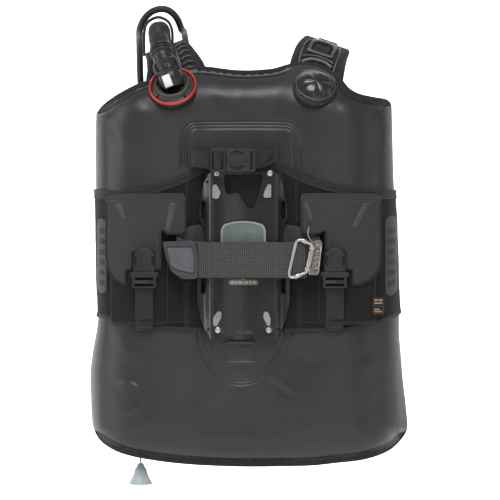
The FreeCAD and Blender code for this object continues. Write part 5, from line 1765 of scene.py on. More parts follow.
lathe("elbow_neck", [(14.0, -2)] + [q for k in range(3) for q in ((14.2, 1.2 + 5.2 * k), (16.0, 1.8 + 5.2 * k), (16.4, 3.0 + 5.2 * k), (16.0, 4.4 + 5.2 * k), (14.2, 5.0 + 5.2 * k))] +
      [(14.0, L2 - 4), (14.0, L2)], J1, AX2, M_BLACK, seg=56, slot="black_plastic")
# blank label on the ball
tilt = math.radians(20)
V, F = [], []
cx, cz = -105.0, 247.8
for j in range(15):
    for i in range(13):
        u_ = (i / 12 - 0.5) * 11.2
        v_ = (j / 14 - 0.5) * 17.0
        x = cx + u_ * math.cos(tilt) - v_ * math.sin(tilt)
        z = cz + u_ * math.sin(tilt) + v_ * math.cos(tilt)
        r2 = 17.95 ** 2 - (x - EB[0]) ** 2 - (z - EB[2]) ** 2
        V.append((x, EB[1] - math.sqrt(max(r2, 4.0)) - 0.1, z))
F = [(j * 13 + i, j * 13 + i + 1, (j + 1) * 13 + i + 1, (j + 1) * 13 + i) for j in range(14) for i in range(12)]
o = mk("elbow_label", np.array(V), F, M_LABEL, normals=False, slot="black_plastic")
face_front(o)
solidify(o, 0.5, -1.0)

# right-hand valve
lathe("valve_base", [(10, -5.8), (30.1, -5.8), (30.5, -5), (30.5, 2.6), (29.8, 3.8), (28.6, 4.2), (10, 4.2)], C2, N2, M_BLACK, seg=96,
      rep="shoulder_valve_base", slot="black_plastic", mod=lambda r, h, t: r * (1 + (0.012 * math.cos(36 * t) if r > 29 and h < 3 else 0)))
lathe("valve_cap", [(28.4, 4.0), (29.0, 4.8), (29.0, 6.4), (28.2, 7.4), (26.8, 8.2), (24.4, 10.4), (20.0, 13.4), (15.0, 15.6), (9.0, 16.8), (0.05, 17.2)],
      C2, N2, M_GLOSS, seg=120, rep="shoulder_valve_cap", slot="black_plastic",
      mod=lambda r, h, t: (r, h - 1.5 * max(0.0, math.sin(4 * t + 0.9)) ** 0.7 * min(1.0, max(0.0, (26 - r) / 4)) * min(1.0, r / 9)))
lathe("valve_band", [(26.9, 8.9), (27.5, 8.8), (27.4, 9.4), (26.7, 9.7)], C2, N2, M_TRIM_AND_HIGHLIGHT, seg=96, closed=True, slot="black_plastic")


# ---- a free hose or cord is laid on a smooth curve through its route ----
def route(name, pts):
    cu = bpy.data.curves.new(name, "CURVE")
    cu.dimensions = "3D"
    sp = cu.splines.new("NURBS")
    sp.points.add(len(pts) - 1)
    for q, p in zip(sp.points, pts):
        q.co = (p[0] * S, p[1] * S, p[2] * S, 1.0)
    sp.order_u = 3
    sp.use_endpoint_u = True
    sp.resolution_u = 24
    cu.resolution_u = 24
    return cu


def curve_points(name, pts):
    cu = route(name + "_route", pts)
    ob = bpy.data.objects.new(name + "_route", cu)
    bpy.context.scene.collection.objects.link(ob)
    dg = bpy.context.evaluated_depsgraph_get()
    me = bpy.data.meshes.new_from_object(ob.evaluated_get(dg))
    c = [v.co.copy() for v in me.vertices]
    bpy.data.meshes.remove(me)
    bpy.data.objects.remove(ob)
    bpy.data.curves.remove(cu)
    return c


HOSE = [tuple(J2), (-121.459, 31.633, 320.837), (-119, 74, 324), (-118, 124, 329), (-118, 178, 306), (-118, 210, 256),
        (-117, 221, 198), (-114, 217, 138), (-114, 217, 80)]
hc = curve_points("hose", HOSE)
hp = by_step(np.array([tuple(c) for c in hc]) / S, 0.62)
HL = float(np.linalg.norm(np.diff(hp, axis=0), axis=1).sum())


def hose_r(l, a=0.0):
    e = min(l, HL - l)
    if e < 3.0:
        return 14.2
    if e < 13.0:
        return 13.9 if e < 11.6 else 13.2
    ph = ((l - 13.0) % 4.7) / 4.7
    return 11.7 + 1.6 * (0.5 - 0.5 * math.cos(2 * math.pi * ph)) ** 0.62


ho = pipe("corrugated_hose_tube", hp, hose_r, M_RUBBER, seg=40, rep="corrugated_hose", slot="black_rubber")
kp = [(-140, 288), (-140, 322), (-134.5, 336), (-120, 342.5), (-106, 336), (-100.5, 322), (-100.5, 302)]
ribbon("hose_keeper_band", [(x, 63, z) for x, z in kp], (0, 5, 0), 3.8, M_RUBBER, seg=8, rep="hose_keeper", slot="black_webbing")

LP = [(-138, 217, 82), (-138, 217, 122), (-143, 227, 166), (-148, 224, 212), (-151, 211, 257), (-151, 184, 295), (-150, 145, 320), (-149, 112, 324),
      (-147.5, 89, 329), (-140, 80, 344), (-126, 79, 355), (-108, 79, 356), (-95, 81, 345), (-89.5, 93, 332), (-88, 116, 327), (-86, 148, 331),
      (-84, 184, 316), (-80, 208, 281), (-77, 214, 235), (-76, 216, 186), (-76, 226, 138)]
lc = route("lp_hose_line", LP)
lc.bevel_depth = 4.8 * S
lc.bevel_resolution = 8
lc.use_fill_caps = True
lc.materials.append(M_RUBBER)
lo = bpy.data.objects.new("lp_hose_line", lc)
bpy.context.scene.collection.objects.link(lo)
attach(lo, "vest")
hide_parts("lp_hose")
lpts = np.array([tuple(c) for c in curve_points("lp_measure", LP)])
e_ = np.array(LP[-1], float)
d_ = e_ - np.array(LP[-2], float)
d_ /= np.linalg.norm(d_)
f1 = lathe("lp_fitting_end", [(4.9, -8), (5.6, -7.6), (5.8, 0), (7.0, 0.4), (7.0, 11.4), (7.4, 12), (8.2, 12.4), (8.5, 13), (8.5, 21), (8.0, 22), (4.76, 22.1), (4.76, 31.4), (4.3, 32), (0.1, 32)],
           e_, d_, M_STEEL, seg=48, rep="lp_hose_fittings", slot="brass_chrome",
           mod=lambda r, h, t: (r * (1 + 0.04 * math.cos(6 * t)) if 12.2 < h < 21.5 else (r * (1 + 0.03 * math.sin(h * 5.0)) if h > 22.5 else r)))
lathe("lp_connector", [(5.0, 52), (5.7, 51), (5.9, 41), (6.6, 40), (7.2, 39), (7.5, 36), (7.5, 25), (7.0, 24), (7.0, 21), (7.5, 20), (7.5, 1), (7, 0), (0.1, 0)],
      (-138, 217, 42), (0, 0, 1), M_STEEL, seg=48, slot="brass_chrome", mod=lambda r, h, t: r * (1 + (0.02 * math.cos(24 * t) if 24.5 < h < 36.5 else 0)))

# dump cord, its guide and the toggle
TX, TY = -144.5, 50.5
cp = [(TX, TY, -206), (TX, TY, -226), (TX, TY, -246), (TX, TY, -266), (TX, TY, -286)]
dc = route("dump_cord_line", cp)
dc.bevel_depth = 1.0 * S
dc.bevel_resolution = 4
dc.use_fill_caps = True
dc.materials.append(M_WEB)
do = bpy.data.objects.new("dump_cord_line", dc)
bpy.context.scene.collection.objects.link(do)
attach(do, "dump_pull")
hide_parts("dump_cord")
tg = lathe("toggle_bell", [(0.05, 0.0), (2.4, 0.0), (3.8, 0.5), (4.6, 1.6), (5.0, 3.2), (6.0, 5.4), (7.6, 7.0), (8.4, 9.0), (8.8, 12.0), (10.0, 16.0), (12.0, 20.5), (14.2, 25.0),
                           (15.6, 28.2), (15.8, 29.4), (15.0, 29.9), (13.4, 29.0), (11.0, 24.0), (0.05, 22.0)], (TX, TY, -286), (0, 0, -1), M_TOGGLE, seg=96, body="dump_pull",
           rep="dump_toggle", slot="toggle_plastic",
           mod=lambda r, h, t: r * (1 + 0.055 * math.cos(8 * t) * (h / 30.0) ** 1.5) if r > 4 else r)
go = rounded([(TX - 7.5, -278), (TX + 7.5, -278), (TX + 7.5, -271), (TX - 7.5, -271)], 1.4, 4)
vslab("cord_guide_front", go, TY - 3.5, TY - 1.7, M_BLACK, spacing=3, step=1.2, bev=0.6, rep="cord_guide", slot="black_plastic")
vslab("cord_guide_back", go, TY + 1.7, TY + 3.5, M_BLACK, spacing=3, step=1.2, bev=0.6, slot="black_plastic")
for s in (-1, 1):
    a, b = sorted((TX + s * 1.7, TX + s * 7.4))
    vslab("cord_guide_side_%d" % s, [(a, -277.6), (b, -277.6), (b, -271.4), (a, -271.4)], TY - 2.2, TY + 2.2, M_BLACK, spacing=3, step=1.5, bev=0.2, slot="black_plastic")
ribbon("cord_guide_loop", [(TX, 36.0, -252), (TX, 44.0, -262), (TX, 46.8, -270), (TX, 46.6, -277.5)], (7.0, 0, 0), 1.4, M_WEB, slot="black_webbing")

# =====================================================================
# shoulder straps: padded and covered, over the shoulders to the buckles
# =====================================================================
STRAP = {}


def strap(st, tilt, nm):
    pts, ws = [], []
    for i, (x, y, z, hw) in enumerate(st):
        k = min(1.0, max(0.0, (i - 1) / 2.0)) if i < 7 else max(0.0, 1 - (i - 6) / 3.0)
        a = math.radians(tilt * k)
        pts.append((x, y, z))
        ws.append((hw * math.cos(a), 0, hw * math.sin(a)))
    o, P, W, N, L = ribbon("shoulder_strap_pad_" + nm, pts, ws, 10.5, M_FOAM, seg=8, wseg=18, round_=0.42, crown=1.2,
                           rep="shoulder_strap_" + nm, slot="strap_moulding")
    # which side of the ribbon faces out (front at the start, up over the shoulder)
    sgn = -1.0 if N[3][1] > 0 else 1.0
    STRAP[nm] = (P, W, N * sgn, np.asarray(L))
    return o


strap([(-92, 57, 165.5, 45), (-94, 57, 225, 44), (-95, 59, 262, 43), (-103, 70, 288, 34),
       (-110, 92, 298, 31), (-111, 120, 299, 30), (-111, 150, 288, 30), (-109, 172, 262, 30),
       (-105, 184, 225, 29), (-101, 190, 180, 28), (-98, 192, 130, 27)], 20, "left")
strap([(98, 57, 165.5, 38), (98, 57, 225, 38), (100, 60, 262, 37), (108, 72, 290, 36),
       (117, 94, 303, 35), (119, 122, 305, 34), (118, 152, 294, 32), (114, 174, 266, 31),
       (108, 186, 226, 30), (102, 191, 180, 28), (98, 192, 130, 27)], -19, "right")


def on_strap(nm, l, v, off):
    """l mm along, v as a fraction of the half width, off mm above the strap's middle."""
    P, W, N, L = STRAP[nm]
    l = np.asarray(l, float)
    v = np.asarray(v, float)
    g = lambda A: np.stack([np.interp(l, L, A[:, k]) for k in range(3)], 1)
    n = g(N)
    n /= np.linalg.norm(n, axis=1)[:, None]
    return g(P) + g(W) * v[:, None] + n * np.asarray(off).reshape(-1, 1), n


def strap_patch(name, nm, outline, off, t, mat, holes=(), spacing=2.6, step=1.8, edge=0.0):
    """outline in (v in mm across from the middle, l in mm along)."""
    p2_, fs = tri2d(outline, holes, spacing, step)
    p = np.array(p2_)
    P0, W0, N0, L0 = STRAP[nm]
    hw = np.interp(p[:, 1], L0, np.linalg.norm(W0, axis=1))
    P, n = on_strap(nm, p[:, 1], p[:, 0] / hw, np.full(len(p), off))
    Q = P - n * t
    k = len(p)
    F = [tuple(f) for f in fs] + [tuple(i + k for i in f[::-1]) for f in fs]
    cnt = {(f[i], f[(i + 1) % len(f)]) for f in fs for i in range(len(f))}
    F += [(b, a, a + k, b + k) for (a, b) in cnt if (b, a) not in cnt]
    o = mk(name, np.vstack([P, Q]), F, mat, wv=np.vstack([np.c_[p, np.zeros(k)]] * 2), slot="strap_moulding")
    bevel(o, 0.5, 2, 50)
    return o


def bar_on(name, nm, pts, off, r, mat):
    p = by_step(catmull(pts, 8), 2.0)
    P0, W0, N0, L0 = STRAP[nm]
    hw = np.interp(p[:, 1], L0, np.linalg.norm(W0, axis=1))
    P, n = on_strap(nm, p[:, 1], p[:, 0] / hw, np.full(len(p), off))
    return pipe(name, P, r, mat, seg=10, slot="strap_moulding")


for nm, s in (("left", -1), ("right", 1)):
    P0, W0, N0, L0 = STRAP[nm]
    LT = float(L0[-1])
    hwm = lambda l: float(np.interp(l, L0, np.linalg.norm(W0, axis=1)))
    # moulded cover down the middle, from behind the cell to over the shoulder
    ls = np.linspace(6, LT - 8, 60)
    out = [(-(hwm(l) - 4.0), l) for l in ls] + [((hwm(l) - 4.0), l) for l in ls[::-1]]
    strap_patch("strap_cover_" + nm, nm, out, 6.6, 2.2, M_STRAP, spacing=5.0, step=4.0)
    for side in (-1, 1):
        e = [(side * (hwm(l) - 1.6), l) for l in np.linspace(4, LT - 6, 40)]
        bar_on("strap_edge_%s_%d" % (nm, side), nm, e, 4.6, 2.0, M_BIND)
        e = [(side * (hwm(l) - 8.0), l) for l in np.linspace(8, LT - 10, 40)]
        p = by_step(e, 2.4)
        hw = np.interp(p[:, 1], L0, np.linalg.norm(W0, axis=1))
        P, n = on_strap(nm, p[:, 1], p[:, 0] / hw, np.full(len(p), 6.75))
        stitches("strap_stitch_%s_%d" % (nm, side), P, n, M_THREADL, 4.0, 2.8, 0.34, 0.1, slot="strap_moulding")
# where the straps roll over the top, seen from the front (l about 110 to 160)
lz = {nm: float(np.interp(285.0, STRAP[nm][0][:int(np.argmax(STRAP[nm][0][:, 2])), 2], STRAP[nm][3][:int(np.argmax(STRAP[nm][0][:, 2]))])) for nm in STRAP}
# right strap: an arched frame round a slot, with the webbing patch in it
l0 = lz["right"]
arch = rounded([(-19, l0 + 1), (19, l0 + 1), (19, l0 + 22), (12, l0 + 31), (-12, l0 + 31), (-19, l0 + 22)], [3, 3, 10, 10, 10, 10], 6)
slot_ = rounded([(-14.5, l0 + 4.5), (14.5, l0 + 4.5), (14.5, l0 + 18), (8.5, l0 + 26), (-8.5, l0 + 26), (-14.5, l0 + 18)], [2, 2, 7, 7, 7, 7], 6)
strap_patch("strap_arch_right", "right", arch, 9.2, 3.0, M_TRIM_AND_HIGHLIGHT, holes=[slot_], spacing=2.4, step=1.5)
strap_patch("strap_arch_shadow_right", "right", [tuple(q) for q in slot_], 6.9, 0.6, M_SHADOW, spacing=3, step=2)
strap_patch("strap_arch_webbing_right", "right", rounded([(-11, l0 + 5), (11, l0 + 5), (11, l0 + 17), (-11, l0 + 17)], 1, 2), 8.0, 1.4, M_WEB, spacing=3, step=2)
# lighter coated bars where the glossy edge rolls over: painted highlight, with the coat's real reflection on top
bar_on("strap_painted_highlight_right_0", "right", [(-21, l0 - 15), (-9, l0 - 8.5), (9, l0 - 8), (22, l0 - 14)], 7.4, 3.4, M_TRIM_AND_HIGHLIGHT)
bar_on("strap_painted_highlight_right_1", "right", [(-22, l0 - 7), (-9, l0 - 2.4), (9, l0 - 2), (23, l0 - 6)], 7.2, 1.3, M_TRIM_AND_HIGHLIGHT)
bar_on("strap_ridge_right", "right", [(-24, l0 - 22), (-25.5, l0 - 5), (-25, l0 + 12), (-21, l0 + 24)], 7.0, 1.3, M_TRIM_AND_HIGHLIGHT)
bar_on("strap_ridge_right_b", "right", [(25, l0 - 22), (26, l0 - 5), (25.5, l0 + 12), (21, l0 + 26)], 7.0, 1.3, M_TRIM_AND_HIGHLIGHT)
# left strap: curved ribs on the inner edge, ridges along it
l0 = lz["left"]
for k in range(6):
    bar_on("strap_rib_left_%d" % k, "left", [(12, l0 - 24 + 7 * k), (20, l0 - 21 + 7 * k), (27, l0 - 23 + 7 * k)], 7.0, 1.2, M_TRIM_AND_HIGHLIGHT)
bar_on("strap_ridge_left", "left", [(7, l0 - 34), (9, l0 - 10), (10, l0 + 10), (8, l0 + 30)], 7.0, 1.2, M_TRIM_AND_HIGHLIGHT)
for nm in ("left", "right"):
    for k in range(9):
        l = lz[nm] + 52 + 13 * k
        bar_on("strap_back_rib_%s_%d" % (nm, k), nm, [(-14, l), (0, l - 2.5), (14, l)], 6.9, 1.0, M_TRIM_AND_HIGHLIGHT)

# =====================================================================
# the wearer's side
# =====================================================================


def back_slab(name, outline, front, back, mat, holes=(), bev=0.6, **kw):
    return vslab(name, outline, front, back, mat, holes=holes, spacing=kw.pop("spacing", 4.0), step=kw.pop("step", 2.0), bev=bev, **kw)


RR = [(-122, -150), (-112, -165), (112, -165), (122, -150), (122, 150), (108, 165), (-108, 165)]
RRO = rounded(RR, [12, 12, 12, 12, 12, 12, 12], 6)
back_slab("harness_panel_cloth", RRO, 46.6, 49.4, M_CORD, spacing=8, step=4, bev=0.8, rep="harness_panel", slot="cordura")
e = by_step(RRO, 4.0, True)
closed_pipe("harness_binding", [(x, 48.0, z) for x, z in inset(e, 0.6)], 2.0, M_BIND, seg=10, slot="black_webbing")
q = inset(e, 4.5)
stitches("harness_stitch", np.c_[q[:, 0], np.full(len(q), 49.5), q[:, 1]], np.array([0, 1.0, 0]), M_THREADL, 4.2, 3.0, 0.35, 0.15, slot="cordura")

# back pad, blown up by its own foam in a short cloth simulation
PO = rounded([(x * 0.94, z * 0.96) for x, z in RR], 14, 6)


def pad_mesh():
    o = vslab("back_pad_core", PO, 50.0, 60.5, M_FOAM, spacing=9, step=6, bev=0, slot="pad_fabric")
    return o


core = pad_mesh()
pm = core.data
me2 = pm.copy()
work = bpy.data.objects.new("back_pad_cushion", me2)
bpy.context.scene.collection.objects.link(work)
bpy.context.view_layer.objects.active = work
for ob in bpy.context.selected_objects:
    ob.select_set(False)
work.select_set(True)
rm = work.modifiers.new("remesh", "REMESH")
rm.mode = "VOXEL"
rm.voxel_size = 0.0055
rm.use_smooth_shade = True
bpy.ops.object.modifier_apply(modifier=rm.name)
base = np.zeros(len(work.data.vertices) * 3)
work.data.vertices.foreach_get("co", base)
base = base.reshape(-1, 3)
vg = work.vertex_groups.new(name="hold")
held = [int(i) for i in np.where(base[:, 1] < 0.0525)[0]]
vg.add(held, 1.0, "REPLACE")
cm = work.modifiers.new("cloth", "CLOTH")
cs = cm.settings
cs.quality = 4
cs.mass = 0.25
cs.tension_stiffness = 12
cs.compression_stiffness = 12
cs.shear_stiffness = 6
cs.bending_stiffness = 3
cs.use_pressure = True
cs.uniform_pressure_force = 4.0
cs.vertex_group_mass = "hold"
cs.effector_weights.gravity = 0.0
cm.point_cache.frame_start = 1
cm.point_cache.frame_end = 20
sc = bpy.context.scene
for f in range(1, 21):
    sc.frame_set(f)
dg = bpy.context.evaluated_depsgraph_get()
ev = work.evaluated_get(dg)
tmp = ev.to_mesh()
blown = np.zeros(len(tmp.vertices) * 3)
tmp.vertices.foreach_get("co", blown)
blown = blown.reshape(-1, 3)
ev.to_mesh_clear()
work.modifiers.remove(cm)
sc.frame_set(1)
if len(blown) == len(base) and np.isfinite(blown).all():
    d = blown - base
    ln = np.linalg.norm(d, axis=1)
    d *= (np.minimum(ln, 0.0035) / np.maximum(ln, 1e-9))[:, None]
    base = base + d
# quilting lines and a channel down the spine, pressed in afterwards
X, Y, Z = base[:, 0] * 1000, base[:, 1] * 1000, base[:, 2] * 1000
g = np.zeros(len(base))
for zz in (-110, -60, -10, 40, 90):
    g += 3.2 * np.exp(-((Z - zz - 0.0006 * X ** 2 * 0) / 4.0) ** 2)
for xx in (-58, 58):
    g += 3.2 * np.exp(-((X - xx) / 4.0) ** 2)
g += 2.6 * np.exp(-(X / 11.0) ** 2)
top_ = Y > 56
base[:, 1] -= np.where(top_, np.minimum(g, 4.2), 0) / 1000
base[:, 1] = np.maximum(base[:, 1], 0.0500)
work.data.vertices.foreach_set("co", base.ravel())
work.data.update()
sd = work.modifiers.new("sub", "SUBSURF")
sd.levels = 1
sd.render_levels = 1
bpy.ops.object.modifier_apply(modifier=sd.name)
work.data.materials.clear()
work.data.materials.append(M_FOAM)
for p_ in work.data.polygons:
    p_.use_smooth = True
bpy.data.objects.remove(core)
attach(work, "vest")
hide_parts("back_pad")
for k, zz in enumerate((-110, -60, -10, 40, 90)):
    for j, (a, b) in enumerate(((-104, -60), (-56, -8), (8, 56), (60, 104))):
        stitches("pad_quilt_%d_%d" % (k, j), np.array([(a, 57.6, zz), (b, 57.6, zz)]), np.array([0, 1.0, 0]), M_THREADL, 4.4, 3.2, 0.4, 0.6, slot="pad_fabric")
ep = by_step(PO, 4.0, True)
closed_pipe("back_pad_piping", [(x, 51.2, z) for x, z in inset(ep, 0.2)], 1.6, M_BIND, seg=8, slot="black_webbing")
# a webbing cross strap over the top of the panel
ribbon("harness_cross_top", [(-104, 50.6, 158), (0, 50.6, 158), (104, 50.6, 158)], (0, 0, 5.0), 1.4, M_WEB, seg=8, slot="black_webbing")

# shoulder webbing, chest strap, waist belt
for sx, nm in ((-1, "left"), (1, "right")):
    c = sx * 98
    o, *_ = ribbon("shoulder_web_" + nm, [(c, 190.5, 56.5), (c, 189.2, 50), (c, 192, 44), (c, 193, 20), (c, 200, -30), (c, 207, -68)], (19, 0, 0), 2.0, M_WEB,
                   body=None, rep="shoulder_webbing_" + nm, slot="black_webbing")
    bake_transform(o)
    stitches("shoulder_web_tack_" + nm, np.array([(c - 16, 208.6, -64), (c + 16, 208.6, -64)]), np.array([0, 1.0, 0]), M_THREADL, 2.6, 2.0, 0.4, 0.3, slot="black_webbing")
ribbon("chest_web_left", [(-70, 192, 152), (-50, 194, 152), (-30.0, 194, 152)], (0, 0, 12.5), 1.8, M_WEB, rep="chest_strap_left", slot="black_webbing")
o, *_ = ribbon("chest_web_right", [(29.0, 194, 152), (40, 194, 152), (50, 194, 152), (70, 192, 152)], (0, 0, 12.5), 1.8, M_WEB, body=None, rep="chest_strap_right",
               slot="black_webbing")
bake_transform(o)
wl = [(-126, 52), (-148, 66), (-166, 98), (-172, 140), (-163, 182), (-136, 208), (-98, 218), (-70, 221), (-42.4, 222)]
ribbon("waist_web_left", [(x, y, -95) for x, y in wl], (0, 0, 25.0), 3.0, M_WEB, seg=8, rep="waist_strap_left", slot="black_webbing")
wr = [(-x, y, -95) for x, y in wl]
o, *_ = ribbon("waist_web_right", wr, (0, 0, 25.0), 3.0, M_WEB, seg=8, body=None, rep="waist_strap_right", slot="black_webbing")
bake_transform(o)

# lower dump valve with its ports
lathe("dump_valve_body", [(10, 0.2), (24, 0.2), (24, 15), (23.2, 17.4), (21.6, 18.2), (20.8, 20.0), (18, 21.8), (12, 22.6), (6, 22.8), (0.05, 22.9)], (-163.5, 24, -191.8), (0, 1, 0),
      M_BLACK, seg=96, rep="lower_dump_valve", slot="black_plastic", mod=lambda r, h, t: r * (1 + (0.015 * math.cos(30 * t) if 2 < h < 16 and r > 23 else 0)))
# near-black tubes round the valve's face: painted shade in its ports
for i in range(8):
    a = 2 * math.pi * i / 8
    c = np.array([-163.5 + 15.5 * math.cos(a), 46.2, -191.8 + 15.5 * math.sin(a)])
    pipe("dump_valve_port_%d" % i, np.array([c - (2.6 * math.cos(a), 0, 2.6 * math.sin(a)), c + (2.6 * math.cos(a), -0.7, 2.6 * math.sin(a))]), 1.3, M_SHADOW, seg=10)

# inflator: grip ribs, two hose clamps and the inflate button's collar
IX, IY = -114.0, 217.0
for k in range(7):
    z = -24 + 5.2 * k
    for s in (-1, 1):
        pipe("inflator_rib_%d_%d" % (s, k), np.array([(IX - 9, IY + s * 13.0, z), (IX + 9, IY + s * 13.0, z)]) if not (s > 0 and 8 < z < 28) else
             np.array([(IX - 9, IY - 13.0, z + 0.01), (IX + 9, IY - 13.0, z + 0.01)]), 0.9, M_BLACK, seg=8)
for k, z in enumerate((60, 72)):
    lathe("inflator_clamp_%d" % k, [(15.0, -2.2), (16.0, -1.8), (16.2, 0), (16.0, 1.8), (15.0, 2.2)], (IX, IY, z), (0, 0, 1), M_TRIM_AND_HIGHLIGHT, seg=64, slot="black_plastic")
lathe("inflate_button_collar", [(8.3, -1.6), (9.6, -1.4), (10.0, 0), (9.6, 1.0), (8.3, 1.2)], (IX, IY + 13.2, 18), (0, 1, 0), M_BLACK, seg=48, closed=True, slot="black_plastic")
# buckle faces: raised face plates so that the mouldings don't look like plain blocks
for sx in (-1, 1):
    c = sx * 98
    vslab("shoulder_buckle_face_%d" % sx, rounded([(c - 12, 80), (c + 12, 80), (c + 10, 120), (c - 10, 120)], 4, 5), 198.6, 200.2, M_TRIM_AND_HIGHLIGHT, spacing=5, step=2, bev=0.6,
          slot="black_plastic")
vslab("chest_buckle_face", rounded([(-26, 144), (4, 142), (4, 162), (-26, 160)], 4, 5), 198.6, 200.0, M_TRIM_AND_HIGHLIGHT, spacing=4, step=1.6, bev=0.5, slot="black_plastic")
vslab("waist_buckle_face", rounded([(-37, -112), (7, -114), (7, -76), (-37, -78)], 7, 6), 228.6, 230.2, M_TRIM_AND_HIGHLIGHT, spacing=5, step=2, bev=0.6, slot="black_plastic")

# =====================================================================
# studio
# =====================================================================


def plane(name, corners, mat):
    me = bpy.data.meshes.new(name)
    me.from_pydata([Vector(c) for c in corners], [], [(0, 1, 2, 3)])
    me.materials.append(mat)
    o = bpy.data.objects.new(name, me)
    bpy.context.scene.collection.objects.link(o)
    return o


def pale(name, emit, base=0.9):
    m = bpy.data.materials.new(name)
    m.use_nodes = True
    b = m.node_tree.nodes["Principled BSDF"]
    b.inputs["Base Color"].default_value = (base, base, base, 1)
    b.inputs["Roughness"].default_value = 0.8
    b.inputs["Emission Color"].default_value = (1, 1, 1, 1)
    b.inputs["Emission Strength"].default_value = emit
    return m


def fading(m, lo, hi, y0, y1):
    """The floor glows only behind the object, so that it doesn't light the hem from below."""
    t = m.node_tree
    tc = t.nodes.new("ShaderNodeTexCoord")
    sp = t.nodes.new("ShaderNodeSeparateXYZ")
    mr = t.nodes.new("ShaderNodeMapRange")
    t.links.new(tc.outputs["Object"], sp.inputs[0])
    t.links.new(sp.outputs["Y"], mr.inputs["Value"])
    mr.inputs["From Min"].default_value = y0
    mr.inputs["From Max"].default_value = y1
    mr.inputs["To Min"].default_value = lo
    mr.inputs["To Max"].default_value = hi
    t.links.new(mr.outputs["Result"], t.nodes["Principled BSDF"].inputs["Emission Strength"])
    return m


def right_fade(m, x0, x1, lo):
    """The same, once more on the right only."""
    t = m.node_tree
    b = t.nodes["Principled BSDF"]
    old = b.inputs["Emission Strength"].links[0].from_socket
    tc = t.nodes.new("ShaderNodeTexCoord")
    sp = t.nodes.new("ShaderNodeSeparateXYZ")
    mr = t.nodes.new("ShaderNodeMapRange")
    mu = t.nodes.new("ShaderNodeMath")
    mu.operation = "MULTIPLY"
    t.links.new(tc.outputs["Object"], sp.inputs[0])
    t.links.new(sp.outputs["X"], mr.inputs["Value"])
    mr.inputs["From Min"].default_value = x0
    mr.inputs["From Max"].default_value = x1
    mr.inputs["To Min"].default_value = 1.0
    mr.inputs["To Max"].default_value = lo
    t.links.new(old, mu.inputs[0])
    t.links.new(mr.outputs["Result"], mu.inputs[1])
    t.links.new(mu.outputs[0], b.inputs["Emission Strength"])
    return m


def one_sided(m):
    """Seen from behind, the backdrop isn't there."""
    t = m.node_tree
    geo = t.nodes.new("ShaderNodeNewGeometry")
    mix = t.nodes.new("ShaderNodeMixShader")
    tr = t.nodes.new("ShaderNodeBsdfTransparent")
    t.links.new(geo.outputs["Backfacing"], mix.inputs[0])
    t.links.new(t.nodes["Principled BSDF"].outputs[0], mix.inputs[1])
    t.links.new(tr.outputs[0], mix.inputs[2])
    t.links.new(mix.outputs[0], t.nodes["Material Output"].inputs["Surface"])
    return m


def side_fade(m, x0, x1, lo, hi):
    """The backdrop glows less towards its ends, which would otherwise shine in the cell's turned edges."""
    t = m.node_tree
    tc = t.nodes.new("ShaderNodeTexCoord")
    sp = t.nodes.new("ShaderNodeSeparateXYZ")
    ab = t.nodes.new("ShaderNodeMath")
    ab.operation = "ABSOLUTE"
    mr = t.nodes.new("ShaderNodeMapRange")
    t.links.new(tc.outputs["Object"], sp.inputs[0])
    t.links.new(sp.outputs["X"], ab.inputs[0])
    t.links.new(ab.outputs[0], mr.inputs["Value"])
    mr.inputs["From Min"].default_value = x0
    mr.inputs["From Max"].default_value = x1
    mr.inputs["To Min"].default_value = hi
    mr.inputs["To Max"].default_value = lo
    t.links.new(mr.outputs["Result"], t.nodes["Principled BSDF"].inputs["Emission Strength"])
    return m


plane("floor", [(-6, -6, -0.42), (6, -6, -0.42), (6, 1.6, -0.42), (-6, 1.6, -0.42)], right_fade(fading(pale("floor_pale", 0.75), 0.22, 0.80, 0.25, 0.95), 0.52, 0.90, 0.35))
plane("floor_rear", [(-6, 1.6, -0.42), (6, 1.6, -0.42), (6, 6, -0.42), (-6, 6, -0.42)], pale("floor_rear_pale", 0.3))
plane("backdrop", [(-6, 1.6, -0.42), (6, 1.6, -0.42), (6, 1.6, 5.0), (-6, 1.6, 5.0)], one_sided(right_fade(side_fade(pale("backdrop_pale", 0.95), 0.62, 1.25, 0.30, 0.95), 0.52, 0.90, 0.25)))

w = bpy.data.worlds.new("studio") if bpy.context.scene.world is None else bpy.context.scene.world
bpy.context.scene.world = w
w.use_nodes = True
bg = w.node_tree.nodes.get("Background") or w.node_tree.nodes.new("ShaderNodeBackground")
bg.inputs["Color"].default_value = (1, 1, 1, 1)
bg.inputs["Strength"].default_value = 0.19


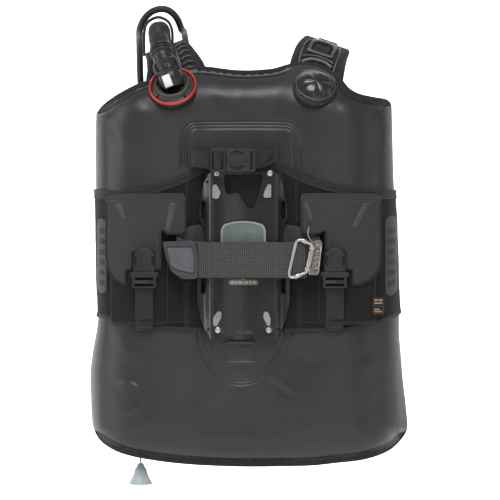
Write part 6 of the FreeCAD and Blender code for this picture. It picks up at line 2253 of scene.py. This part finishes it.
def area(name, loc, look, size, power, size_y=None):
    d = bpy.data.lights.new(name, "AREA")
    d.energy = power
    d.shape = "RECTANGLE"
    d.size = size
    d.size_y = size_y or size
    o = bpy.data.objects.new(name, d)
    bpy.context.scene.collection.objects.link(o)
    o.location = loc
    o.rotation_mode = "QUATERNION"
    o.rotation_quaternion = (Vector(look) - Vector(loc)).to_track_quat("-Z", "Y")
    return o


area("key_top", (-0.1, -2.2, 2.3), (0, 0.05, 0.05), 1.5, 37, 1.0)
area("front_fill", (1.0, -3.3, 0.6), (0, 0, 0), 2.2, 7.5, 1.6)
area("side_left", (-2.1, -0.5, 0.6), (-0.1, 0.05, 0.05), 0.7, 13, 1.9)
area("side_right", (2.1, -0.6, 0.5), (0.1, 0.05, 0.05), 0.7, 3.5, 1.9)
area("back_rim", (0.2, 2.6, 1.9), (0, 0.1, 0.1), 2.0, 12, 1.2)

area("top_strip", (-0.1, -1.5, 2.5), (0, 0.0, 0.2), 1.3, 16, 0.35)

cam = bpy.data.cameras.new("camera")
cam.lens = 207.2
cam.sensor_width = 36
cam.clip_end = 50
co = bpy.data.objects.new("camera", cam)
bpy.context.scene.collection.objects.link(co)
co.location = (0.0093, -4.0, 0.0139)
co.rotation_euler = (math.radians(90), 0, 0)
bpy.context.scene.camera = co
bpy.context.scene.view_settings.view_transform = "Standard"
bpy.context.scene.view_settings.look = "None"

# every CAD node that is still shown gets a finished material
CAD_MATS = {"cell_fabric": M_CELL, "black_webbing": M_WEB, "band_webbing": M_BAND, "black_plastic": M_BLACK,
            "red_plastic": M_RED, "grey_rubber": M_PAD, "grip_rubber": M_GRIP, "toggle_plastic": M_TOGGLE,
            "button_plastic": M_BUTTON, "black_rubber": M_RUBBER, "steel": M_STEEL, "brass_chrome": M_STEEL,
            "badge_metal": M_BADGE, "cordura": M_CORD, "pad_fabric": M_FOAM, "strap_moulding": M_STRAP,
            "cord_fabric": M_WEB}
for nm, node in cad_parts.items():
    if node.hide_render:
        continue
    for sl in node.material_slots:
        key = (sl.material.name.split(".")[0] if sl.material else "")
        sl.material = CAD_MATS.get(key, M_BLACK)
